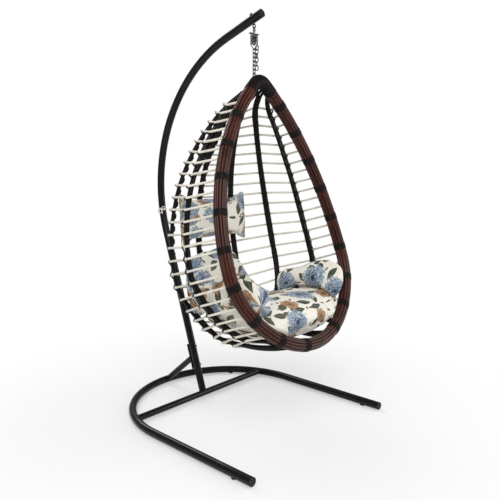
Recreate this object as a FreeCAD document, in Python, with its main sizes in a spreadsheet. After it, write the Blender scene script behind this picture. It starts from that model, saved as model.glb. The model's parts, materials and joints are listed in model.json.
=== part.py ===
import FreeCAD, Part
import math
import os
import Sketcher
from FreeCAD import Placement, Rotation, Vector

# Swing chair: a teardrop basket of cane and cord on a spring and a chain under a curved tube stand.
# Millimetres. +Z is up, the chair faces -Y, and the origin is on the floor under the chair's middle.

SIZES = {
    # stand tubes
    "overall_length": 1138,
    "tube_diameter": 38,
    "tube_wall": 2,
    "glide_lift": 3,
    "base_half_width": 481.5,
    "base_bend_y": 46.5,
    "crossbar_diameter": 32,
    "crossbar_y": 222,
    "cap_flange": 3,
    "cap_stem": 22,
    "glide_diameter": 26,
    "glide_front_y": -470,
    "glide_rear_angle": 48,
    # mast and its brace
    "mast_bend_radius": 755,
    "mast_bend_height": 1119,
    "mast_lean": 18.2,
    "mast_end_rise": 18.4,
    "mast_end_length": 230,
    "mast_foot_height": 28,
    "brace_diameter": 32,
    "brace_foot_y": 519,
    "brace_top_height": 214,
    "plate_length": 136,
    "plate_width": 36,
    "plate_thickness": 5,
    "plate_bolt_pitch": 100,
    "plate_bolt_diameter": 8,
    "plate_bolt_length": 58,
    "bolt_flats": 13,
    "bolt_head_height": 5.5,
    "bolt_nut_height": 6.5,
    "hole_play": 0.4,
    "thread_play": 0.05,
    "brace_foot_rise": 6,
    "cap_play": 0.1,
    # hanger
    "eye_setback": 58,
    "eye_bolt_diameter": 8,
    "eye_radius": 8,
    "eye_wire_radius": 2.5,
    "eye_nut_height": 4,
    "washer_height": 1.5,
    "washer_radius": 9,
    "thread_end": 3,
    "hanger_wire_radius": 2,
    "rod_shank_radius": 1.75,
    "rod_tip": 2,
    "seat_nut_height": 5,
    "seat_nut_flats": 8,
    "hanger_link_length": 13.2,
    "hanger_link_width": 7,
    "hanger_loop_radius": 6,
    "hanger_play": 1.3,
    "spring_height": 40,
    "spring_radius": 11.9,
    "spring_wire_radius": 1.6,
    "spring_turns": 7,
    "spring_play": 0.1,
    "spring_plate": 3,
    "cap_margin": 5,
    "cap_width": 16,
    "cap_slide_play": 0.6,
    "cap_gap": 2.8,
    "spring_seat_radius": 13.5,
    "bail_half_width": 23,
    "bail_drop": 45,
    "bail_vee": 23,
    "bail_head_radius": 3.5,
    "bail_head_height": 2.5,
    # chain
    "chain_wire_radius": 2.25,
    "chain_inner_length": 18.2,
    "chain_inner_width": 8.5,
    "chain_pitch": 17.8,
    "chain_links": 7,
    "chain_play": 1,
    "tail_offset": 18,
    "tail_rise": 6.5,
    "tail_play": 0.4,
    "tail_ring_radius": 10.5,
    # basket rim
    "rim_apex_height": 1613.5,
    "rim_setback": 34,
    "rim_tilt": 16,
    "rim_bow": 45,
    "rim_apex_radius": 45,
    "rim_apex_turn": 42,
    "rim_side_radius": 1127,
    "rim_hip_radius": 293,
    "rim_hip_turn": 120,
    "rim_core_radius": 16.6,
    "rim_core_wall": 0.8,
    "cane_count": 12,
    "cane_radius": 5.85,
    "cane_ring_radius": 23,
    "binding_radius": 31.0,
    "binding_play": 0.9,
    "binding_length": 30,
    "binding_first_left": 256,
    "binding_first_right": 165,
    "binding_step": 155,
    "binding_count": 9,
    "apex_binding_length": 92,
    "staple_radius": 11,
    "staple_wire_radius": 2.2,
    "staple_leg": 34,
    "staple_play": 0.6,
    # ribs and cords
    "basket_depth": 477,
    "row_slope": 8,
    "rod_radius": 6.45,
    "rod_half_gap": 7.2,
    "rod_play": 0.6,
    "cord_radius": 3.9,
    "cord_play": 0.5,
    "cord_stop": 1.5,
    "cord_rim_gap": 3,
    # tie round the mast
    "tie_height": 999,
    "tie_wire_radius": 2,
    "tie_play": 0.3,
    "tie_knot_radius": 4.8,
    "tie_end": 24,
    "tie_end_radius": 1.6,
}

# Each rib's place on a row of the basket: its share of the rim's half width and of the basket's depth.
RIB_SHARES = {"side": (1.05, 0.44), "corner": (0.88, 0.85), "back": (0.31, 1.0)}

# Rows at which the ribs are drawn, as shares of the rim's height from the apex.
RIB_FIRST_ROW = 0.08
RIB_ROW_STEP = 0.0815
RIB_ROW_COUNT = 10
DEPTH_SHARE = 0.85
DEPTH_POWER = 0.65

# Under the seat each rib turns forward to the rim: points as (x, distance behind the rim's bottom, height).
RIB_UNDERSIDE = {
    "side": [(352, 252, 575), (308, 230, 528), (272, 162, 499)],
    "corner": [(276, 464, 530), (228, 436, 468), (186, 270, 430)],
    "back": [(70, 532, 500), (66, 480, 444), (56, 270, 421)],
}
# How the links of the chain's spare tail twist, in degrees about Z.
TAIL_TURNS = [-30, 66, -36, 45, -45]

# Where each rib starts behind the rim as a share of its drop, and where it ends as a half width of the rim.
RIB_START_SHARE = {"side": 0.055, "corner": 0.03, "back": 0.03}
RIB_END_X = {"side": 222, "corner": 132, "back": 46}

# Rows of cord, and how far along the rim and along each rib they lie: start, step, growth of the step.
ROW_COUNT = 24
ROW_RUNS = {
    "rim": (103, 53.5, -0.15),
    "side": (3.5, 53.5, 0),
    "corner": (61, 50.8, 0.32),
    "back": (100, 41.2, 0.766),
}

# Cushions as sections along their width:
# (place, lower edge, upper edge, half thickness, set of the middle line).
SEAT_SECTIONS = [
    (-298, -70, 150, 17, 80),
    (-282, -120, 188, 31, 70),
    (-250, -158, 212, 46, 42),
    (-195, -196, 226, 68, 15),
    (-110, -224, 233, 82, 3),
    (0, -230, 236, 86, 0),
    (110, -224, 233, 82, 3),
    (195, -196, 226, 68, 15),
    (250, -158, 212, 46, 42),
    (282, -120, 188, 31, 70),
    (298, -70, 150, 17, 80),
]
BACK_SECTIONS = [
    (-318, -96, 8, 13, -44),
    (-300, -128, 62, 25, -43),
    (-238, -148, 122, 40, -30),
    (-120, -154, 148, 51, -10),
    (-10, -154, 142, 54, 0),
    (45, -154, 118, 53, -2),
    (90, -154, 62, 50, -8),
    (135, -152, -4, 45, -16),
    (190, -148, -56, 36, -28),
    (236, -142, -92, 20, -40),
]
SIDE_FRONT = [
    (-212, 6, 84, 15, 46),
    (-198, -12, 114, 32, 40),
    (-158, -38, 138, 45, 25),
    (-100, -54, 152, 48, 10),
    (0, -58, 142, 48, 0),
]
SIDE_REAR_RIGHT = [
    (100, -52, 106, 42, 8),
    (160, -40, 82, 32, 22),
    (184, -24, 62, 15, 28),
]
SIDE_REAR_LEFT = [
    (100, -56, 118, 44, 6),
    (190, -52, 92, 38, 14),
    (250, -36, 70, 26, 26),
    (272, -16, 46, 11, 30),
]
HEAD_SECTIONS = [
    (-228, -108, 108, 11, -8),
    (-211, -119, 119, 22, -12),
    (-160, -117, 117, 35, -8),
    (-76, -114, 114, 44, -2),
    (0, -113, 113, 46, 0),
    (76, -114, 114, 44, 0),
    (160, -117, 117, 35, 0),
    (211, -119, 119, 22, 0),
    (228, -108, 108, 11, 0),
]

# Each cushion: its sections, how thick its edges are against its middle, its centre, its lean about X
# and its turn about Z.
CUSHIONS = {
    "seat_cushion": (SEAT_SECTIONS, 0.62, (0, -236, 524), 86, 0),
    "back_cushion": (BACK_SECTIONS, 0.4, (0, 18, 690), -12, 0),
    "side_cushion_right": (SIDE_FRONT + SIDE_REAR_RIGHT, 0.45, (300, -250, 620), 14, 90),
    "side_cushion_left": (SIDE_FRONT + SIDE_REAR_LEFT, 0.45, (300, -250, 620), 14, 90),
    "head_pillow": (HEAD_SECTIONS, 0.25, (-74, 59, 986), -3, 2),
}

doc = FreeCAD.newDocument("SwingChair")
sheet = doc.addObject("Spreadsheet::Sheet", "Sizes")
for line_number, (alias, value) in enumerate(SIZES.items(), start=1):
    sheet.set(f"A{line_number}", alias)
    sheet.set(f"B{line_number}", str(value))
    sheet.setAlias(f"B{line_number}", alias)
doc.recompute()

sub_parts = []


def size(alias):
    return float(sheet.get(alias))


def bind(item, formulas):
    for name, formula in formulas.items():
        item.setExpression(name, formula)
    return item


def keep(item, label):
    item.Label = label
    sub_parts.append(item)
    return item


def feature(label, shape):
    item = doc.addObject("Part::Feature", label)
    item.Shape = shape
    return keep(item, label)


def cylinder(name, radius, height):
    item = doc.addObject("Part::Cylinder", name)
    return bind(item, {"Radius": radius, "Height": height})


def torus(name, ring_radius, wire_radius):
    item = doc.addObject("Part::Torus", name)
    return bind(item, {"Radius1": ring_radius, "Radius2": wire_radius})


def box(name, length, width, height):
    item = doc.addObject("Part::Box", name)
    return bind(item, {"Length": length, "Width": width, "Height": height})


def cut(name, base, tool):
    item = doc.addObject("Part::Cut", name)
    item.Base = base
    item.Tool = tool
    return item


def fuse(name, shapes):
    item = doc.addObject("Part::MultiFuse", name)
    item.Shapes = shapes
    return item


def hexagon(name, flats, height):
    item = doc.addObject("Part::Prism", name)
    item.Polygon = 6
    return bind(item, {"Circumradius": f"({flats}) / sqrt(3)", "Height": height})


def mirrored(label, source):
    item = doc.addObject("Part::Mirroring", label)
    item.Source = source
    item.Normal = Vector(1, 0, 0)
    return keep(item, label)


def place(item, position, axis=Vector(0, 0, 1)):
    item.Placement = Placement(position, Rotation(Vector(0, 0, 1), axis))
    return item


def plane_of(body, role):
    return next(plane for plane in body.Origin.OriginFeatures if plane.Role == role)


def sketch_on(body, name, role):
    sketch = body.newObject("Sketcher::SketchObject", name)
    sketch.AttachmentSupport = (plane_of(body, role), [""])
    sketch.MapMode = "FlatFace"
    return sketch


def driven(sketch, name, kind, *arguments, formula):
    index = sketch.addConstraint(Sketcher.Constraint(kind, *arguments))
    sketch.renameConstraint(index, name)
    sketch.setExpression(f"Constraints.{name}", formula)


def ring_profile(body, name, role, centre):
    sketch = sketch_on(body, name, role)
    outer = size("tube_diameter") / 2
    formulas = {"outer": "Sizes.tube_diameter / 2", "inner": "Sizes.tube_diameter / 2 - Sizes.tube_wall"}
    for circle, formula in formulas.items():
        radius = outer if circle == "outer" else outer - size("tube_wall")
        index = sketch.addGeometry(Part.Circle(Vector(centre[0], centre[1], 0), Vector(0, 0, 1), radius))
        sketch.addConstraint(Sketcher.Constraint("Block", index))
        driven(sketch, circle, "Radius", index, radius, formula=formula)
    return sketch


# Derived places that several pieces share, all from the sheet.
TUBE = size("tube_diameter") / 2
BASE_AXIS = TUBE + size("glide_lift")
BASE_AXIS_FORMULA = "Sizes.tube_diameter / 2 + Sizes.glide_lift"
FRONT_END = size("overall_length") / 2 - size("cap_flange")
FRONT_END_FORMULA = "Sizes.overall_length / 2 - Sizes.cap_flange"
BEND_Y = size("overall_length") / 2 - TUBE - size("mast_bend_radius")
LEAN = math.radians(size("mast_lean"))
RISE = math.radians(size("mast_end_rise"))
MAST_UP = Vector(0, math.sin(LEAN), math.cos(LEAN))
MAST_REAR = Vector(0, math.cos(LEAN), -math.sin(LEAN))
END_FORWARD = Vector(0, -math.cos(RISE), math.sin(RISE))
END_DOWN = Vector(0, -math.sin(RISE), -math.cos(RISE))
BEND_CENTRE = Vector(0, BEND_Y, size("mast_bend_height"))
BEND_LOW = BEND_CENTRE + MAST_REAR * size("mast_bend_radius")
BEND_HIGH = BEND_CENTRE - END_DOWN * size("mast_bend_radius")
MAST_TIP = BEND_HIGH + END_FORWARD * size("mast_end_length")
EYE_AXIS = MAST_TIP - END_FORWARD * size("eye_setback")


def mast_point(height):
    return BEND_LOW - MAST_UP * ((BEND_LOW.z - height) / MAST_UP.z)


def make_base_hoop():
    half = size("base_half_width")
    bend = size("base_bend_y")
    body = doc.addObject("PartDesign::Body", "base_hoop")
    path = sketch_on(body, "hoop_path", "XY_Plane")
    path.addGeometry(Part.LineSegment(Vector(-half, -FRONT_END, 0), Vector(-half, bend, 0)))
    path.addGeometry(Part.ArcOfCircle(Part.Circle(Vector(0, bend, 0), Vector(0, 0, 1), half), 0, math.pi))
    path.addGeometry(Part.LineSegment(Vector(half, bend, 0), Vector(half, -FRONT_END, 0)))
    path.addConstraint(Sketcher.Constraint("Tangent", 0, 2, 1, 2))
    path.addConstraint(Sketcher.Constraint("Tangent", 1, 1, 2, 1))
    path.addConstraint(Sketcher.Constraint("Vertical", 0))
    path.addConstraint(Sketcher.Constraint("Vertical", 2))
    path.addConstraint(Sketcher.Constraint("PointOnObject", 1, 3, -2))
    driven(path, "half_width", "Radius", 1, half, formula="Sizes.base_half_width")
    driven(path, "bend_place", "DistanceY", -1, 1, 1, 3, bend, formula="Sizes.base_bend_y")
    driven(path, "left_end", "DistanceY", 0, 1, -1, 1, FRONT_END, formula=FRONT_END_FORMULA)
    driven(path, "right_end", "DistanceY", 2, 2, -1, 1, FRONT_END, formula=FRONT_END_FORMULA)
    path.setExpression("AttachmentOffset.Base.z", BASE_AXIS_FORMULA)
    profile = ring_profile(body, "hoop_profile", "XZ_Plane", (-half, BASE_AXIS))
    profile.setExpression("AttachmentOffset.Base.z", FRONT_END_FORMULA)
    doc.recompute()
    pipe = body.newObject("PartDesign::AdditivePipe", "hoop_pipe")
    pipe.Profile = profile
    pipe.Spine = path
    return keep(body, "base_hoop")


def make_mast_tube():
    radius = size("mast_bend_radius")
    foot = mast_point(size("mast_foot_height"))
    body = doc.addObject("PartDesign::Body", "mast_tube")
    path = sketch_on(body, "mast_path", "YZ_Plane")
    centre = Vector(BEND_CENTRE.y, BEND_CENTRE.z, 0)
    path.addGeometry(Part.LineSegment(Vector(foot.y, foot.z, 0), Vector(BEND_LOW.y, BEND_LOW.z, 0)))
    bend = Part.Circle(centre, Vector(0, 0, 1), radius)
    path.addGeometry(Part.ArcOfCircle(bend, -LEAN, math.pi / 2 - RISE))
    high = Vector(BEND_HIGH.y, BEND_HIGH.z, 0)
    path.addGeometry(Part.LineSegment(high, Vector(MAST_TIP.y, MAST_TIP.z, 0)))
    path.addConstraint(Sketcher.Constraint("Tangent", 0, 2, 1, 1))
    path.addConstraint(Sketcher.Constraint("Tangent", 1, 2, 2, 1))
    centre_formula = "Sizes.overall_length / 2 - Sizes.tube_diameter / 2 - Sizes.mast_bend_radius"
    driven(path, "bend_radius", "Radius", 1, radius, formula="Sizes.mast_bend_radius")
    driven(path, "bend_y", "DistanceX", -1, 1, 1, 3, centre.x, formula=centre_formula)
    driven(path, "bend_height", "DistanceY", -1, 1, 1, 3, centre.y, formula="Sizes.mast_bend_height")
    driven(path, "foot_height", "DistanceY", -1, 1, 0, 1, foot.z, formula="Sizes.mast_foot_height")
    driven(path, "lean", "Angle", 0, math.pi / 2 - LEAN, formula="(90 - Sizes.mast_lean) * 1 deg")
    driven(path, "rise", "Angle", 2, math.pi - RISE, formula="(180 - Sizes.mast_end_rise) * 1 deg")
    driven(path, "end_length", "Distance", 2, size("mast_end_length"), formula="Sizes.mast_end_length")
    profile = ring_profile(body, "mast_profile", "XY_Plane", (0, 0))
    profile.AttachmentOffset = Placement(foot, Rotation(Vector(0, 0, 1), MAST_UP))
    doc.recompute()
    pipe = body.newObject("PartDesign::AdditivePipe", "mast_pipe")
    pipe.Profile = profile
    pipe.Spine = path
    return body


def make_stand():
    make_base_hoop()
    tube_formula = "Sizes.tube_diameter / 2"
    bar_formula = "Sizes.crossbar_diameter / 2"
    bend = torus("hoop_bend", "Sizes.base_half_width", tube_formula)
    place(bend, Vector(0, size("base_bend_y"), BASE_AXIS))

    # crossbar, coped on to the rear bend of the hoop
    half_formula = "sqrt(Sizes.base_half_width^2 - (Sizes.crossbar_y - Sizes.base_bend_y)^2)"
    bar_half = math.sqrt(size("base_half_width") ** 2 - (size("crossbar_y") - size("base_bend_y")) ** 2)
    bar_start = Vector(-bar_half, size("crossbar_y"), BASE_AXIS)
    along_x = Vector(1, 0, 0)
    bar_outer = place(cylinder("crossbar_outer", bar_formula, f"2 * {half_formula}"), bar_start, along_x)
    bar_inner = cylinder("crossbar_bore", f"{bar_formula} - Sizes.tube_wall", f"2 * {half_formula}")
    place(bar_inner, bar_start, along_x)
    crossbar = cut("crossbar_coped", cut("crossbar_tube", bar_outer, bar_inner), bend)
    keep(crossbar, "crossbar")

    # plate behind the mast, its two bolts, and the brace that ends on it
    joint = mast_point(size("brace_top_height"))
    plate_near = TUBE
    plate_far = TUBE + size("plate_thickness")
    turn = Rotation(Vector(1, 0, 0), MAST_REAR, MAST_UP, "ZYX")
    plate_box = box("plate_blank", "Sizes.plate_width", "Sizes.plate_thickness", "Sizes.plate_length")
    corner = joint + MAST_REAR * plate_near - MAST_UP * (size("plate_length") / 2)
    plate_box.Placement = Placement(corner - along_x * (size("plate_width") / 2), turn)
    hole_formula = "(Sizes.plate_bolt_diameter + Sizes.hole_play) / 2"
    bolt_places = {
        "upper": joint + MAST_UP * (size("plate_bolt_pitch") / 2),
        "lower": joint - MAST_UP * (size("plate_bolt_pitch") / 2),
    }
    bolt_holes = []
    for name, centre in bolt_places.items():
        hole = cylinder(f"plate_hole_{name}", hole_formula, "4 * Sizes.tube_diameter")
        bolt_holes.append(place(hole, centre - MAST_REAR * (2 * size("tube_diameter")), MAST_REAR))
    both_holes = fuse("plate_holes", bolt_holes)
    keep(cut("plate_drilled", plate_box, both_holes), "brace_plate")

    for name, centre in bolt_places.items():
        shank = cylinder(f"shank_{name}", "Sizes.plate_bolt_diameter / 2", "Sizes.plate_bolt_length")
        place(shank, centre + MAST_REAR * plate_far, MAST_REAR * -1)
        head = hexagon(f"head_{name}", "Sizes.bolt_flats", "Sizes.bolt_head_height")
        place(head, centre + MAST_REAR * plate_far, MAST_REAR)
        keep(fuse(f"bolt_{name}", [shank, head]), f"plate_bolt_{name}")
        blank = hexagon(f"nut_blank_{name}", "Sizes.bolt_flats", "Sizes.bolt_nut_height")
        place(blank, centre - MAST_REAR * TUBE, MAST_REAR * -1)
        bore_formula = "Sizes.plate_bolt_diameter / 2 + Sizes.thread_play"
        bore = cylinder(f"nut_bore_{name}", bore_formula, "Sizes.bolt_nut_height")
        place(bore, centre - MAST_REAR * TUBE, MAST_REAR * -1)
        keep(cut(f"nut_{name}", blank, bore), f"plate_nut_{name}")

    foot = Vector(0, size("brace_foot_y"), BASE_AXIS + size("brace_foot_rise"))
    brace_line = joint - foot
    brace_formula = "Sizes.brace_diameter / 2"
    brace_outer = place(cylinder("brace_outer", brace_formula, f"{brace_line.Length}"), foot, brace_line)
    brace_bore = cylinder("brace_bore", f"{brace_formula} - Sizes.tube_wall", f"{brace_line.Length}")
    place(brace_bore, foot, brace_line)
    stop_sizes = ["4 * Sizes.brace_diameter", "2 * Sizes.tube_diameter", "2 * Sizes.plate_length"]
    stop = box("brace_stop", *stop_sizes)
    stop_corner = joint + MAST_REAR * (plate_far - 2 * size("tube_diameter"))
    stop_corner -= MAST_UP * size("plate_length")
    stop.Placement = Placement(stop_corner - along_x * (2 * size("brace_diameter")), turn)
    brace = cut("brace_tube", brace_outer, brace_bore)
    brace = cut("brace_on_hoop", brace, bend)
    keep(cut("brace_on_plate", brace, stop), "brace")

    # mast, drilled for the plate bolts and the eye bolt and coped on to the crossbar
    eye_hole_formula = "(Sizes.eye_bolt_diameter + Sizes.hole_play) / 2"
    eye_hole = cylinder("eye_hole", eye_hole_formula, "2 * Sizes.tube_diameter")
    place(eye_hole, EYE_AXIS - END_DOWN * size("tube_diameter"), END_DOWN)
    mast = cut("mast_drilled", make_mast_tube(), fuse("mast_tools", [both_holes, eye_hole, bar_outer]))
    keep(mast, "mast")

    # plastic plugs in the open tube ends
    plug_ends = {
        "leg_cap_left": (Vector(-size("base_half_width"), -FRONT_END, BASE_AXIS), Vector(0, -1, 0)),
        "leg_cap_right": (Vector(size("base_half_width"), -FRONT_END, BASE_AXIS), Vector(0, -1, 0)),
        "mast_cap": (MAST_TIP, END_FORWARD),
    }
    for label, (end, outward) in plug_ends.items():
        flange = place(cylinder(f"{label}_flange", tube_formula, "Sizes.cap_flange"), end, outward)
        stem_formula = f"{tube_formula} - Sizes.tube_wall - Sizes.cap_play"
        stem = cylinder(f"{label}_stem", stem_formula, "Sizes.cap_stem")
        place(stem, end, outward * -1)
        keep(fuse(f"{label}_plug", [flange, stem]), label)

    # rubber glides under the hoop, hollowed to its tube
    legs = {}
    for side, sign in (("left", -1), ("right", 1)):
        leg = cylinder(f"leg_{side}", tube_formula, FRONT_END_FORMULA)
        legs[side] = place(leg, Vector(sign * size("base_half_width"), 0, BASE_AXIS), Vector(0, -1, 0))
    rear_angle = math.radians(size("glide_rear_angle"))
    rear_x = size("base_half_width") * math.sin(rear_angle)
    rear_y = size("base_bend_y") + size("base_half_width") * math.cos(rear_angle)
    glide_height = "2 * Sizes.glide_lift + 1"
    for side, sign in (("left", -1), ("right", 1)):
        front = cylinder(f"glide_blank_front_{side}", "Sizes.glide_diameter / 2", glide_height)
        place(front, Vector(sign * size("base_half_width"), size("glide_front_y"), 0))
        keep(cut(f"glide_cut_front_{side}", front, legs[side]), f"glide_front_{side}")
        rear = cylinder(f"glide_blank_rear_{side}", "Sizes.glide_diameter / 2", glide_height)
        place(rear, Vector(sign * rear_x, rear_y, 0))
        keep(cut(f"glide_cut_rear_{side}", rear, bend), f"glide_rear_{side}")


# Paths of straight runs and tangent arcs, and round bars swept along them.
def flipped(point):
    return Vector(-point.x, point.y, point.z)


def arc_from(start, way, end):
    chord = end - start
    ahead = Vector(chord).normalize()
    side = way - ahead * way.dot(ahead)
    if side.Length < 1e-5:
        return Part.LineSegment(start, end).toShape()
    angle = math.atan2(side.Length, way.dot(ahead))
    middle = (start + end) * 0.5 + side.normalize() * (chord.Length / 2 * math.tan(angle / 2))
    return Part.Arc(start, middle, end).toShape()


def biarc_reach(start, start_way, end, end_way):
    run = end - start
    along = run.dot(start_way + end_way)
    spread = 2 * (1 - start_way.dot(end_way))
    if spread < 1e-9:
        return run.dot(run) / (2 * along)
    return (math.sqrt(along * along + spread * run.dot(run)) - along) / spread


def biarc_joint(start, start_way, end, end_way):
    reach = biarc_reach(start, start_way, end, end_way)
    return (start + end + (start_way - end_way) * reach) * 0.5


def biarc(start, start_way, end, end_way):
    reach = biarc_reach(start, start_way, end, end_way)
    joint = biarc_joint(start, start_way, end, end_way)
    joint_way = ((end - end_way * reach) - (start + start_way * reach)).normalize()
    return [arc_from(start, start_way, joint), arc_from(joint, joint_way, end)]


def smooth_path(points, ways):
    edges = []
    for index in range(len(points) - 1):
        edges.extend(biarc(points[index], ways[index], points[index + 1], ways[index + 1]))
    return edges


def ways_through(points):
    """Directions of the circle through each point and its neighbours; the ends mirror their neighbours."""
    ways = [None] * len(points)
    for index in range(1, len(points) - 1):
        before = points[index] - points[index - 1]
        after = points[index + 1] - points[index]
        ways[index] = (before * (1 / before.dot(before)) + after * (1 / after.dot(after))).normalize()
    for end, near in ((0, 1), (-1, -2)):
        chord = (points[near] - points[end]).normalize()
        ways[end] = chord * (2 * chord.dot(ways[near])) - ways[near]
    return ways


def rounded_path(points, radius):
    """Straight runs through the points, each corner turned with an arc of the given radius."""
    edges = []
    here = points[0]
    for index in range(1, len(points) - 1):
        corner = points[index]
        before = (corner - points[index - 1]).normalize()
        after = (points[index + 1] - corner).normalize()
        half_turn = before.getAngle(after) / 2
        reach = radius * math.tan(half_turn)
        start = corner - before * reach
        end = corner + after * reach
        edges.append(Part.LineSegment(here, start).toShape())
        edges.append(arc_from(start, before, end))
        here = end
    edges.append(Part.LineSegment(here, points[-1]).toShape())
    return edges


def bar(edges, radius):
    """A round bar along the path, checked against section times length."""
    path = Part.Wire(edges)
    first = edges[0]
    start = first.valueAt(first.FirstParameter)
    profile = Part.Wire(Part.Circle(start, first.tangentAt(first.FirstParameter), radius).toShape())
    solid = path.makePipeShell([profile], True, False)
    expected = math.pi * radius ** 2 * path.Length
    if abs(solid.Volume / expected - 1) > 0.01:
        raise RuntimeError(f"bar volume {solid.Volume:.1f} is not {expected:.1f}")
    return solid


def stadium(inner_length, inner_width, wire):
    """A chain link about the origin, its long way along Z and its flat in the XZ plane."""
    half_width = inner_width / 2 + wire
    half_straight = inner_length / 2 + wire - half_width
    side = Vector(half_width, 0, 0)
    top = Vector(0, 0, half_straight)
    ring = Part.Circle(side + top, Vector(0, 0, 1), wire).toShape()
    profile = Part.Face(Part.Wire(ring))
    upper = profile.revolve(top, Vector(0, -1, 0), 180)
    lower = upper.mirror(Vector(0, 0, 0), Vector(0, 0, 1))
    right = Part.makeCylinder(wire, 2 * half_straight, side - top)
    left = Part.makeCylinder(wire, 2 * half_straight, side * -1 - top)
    return upper.fuse([lower, right, left]).removeSplitter()


def link_at(shape, centre, turn):
    link = shape.copy()
    link.Placement = Placement(centre, Rotation(Vector(0, 0, 1), turn))
    return link


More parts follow.
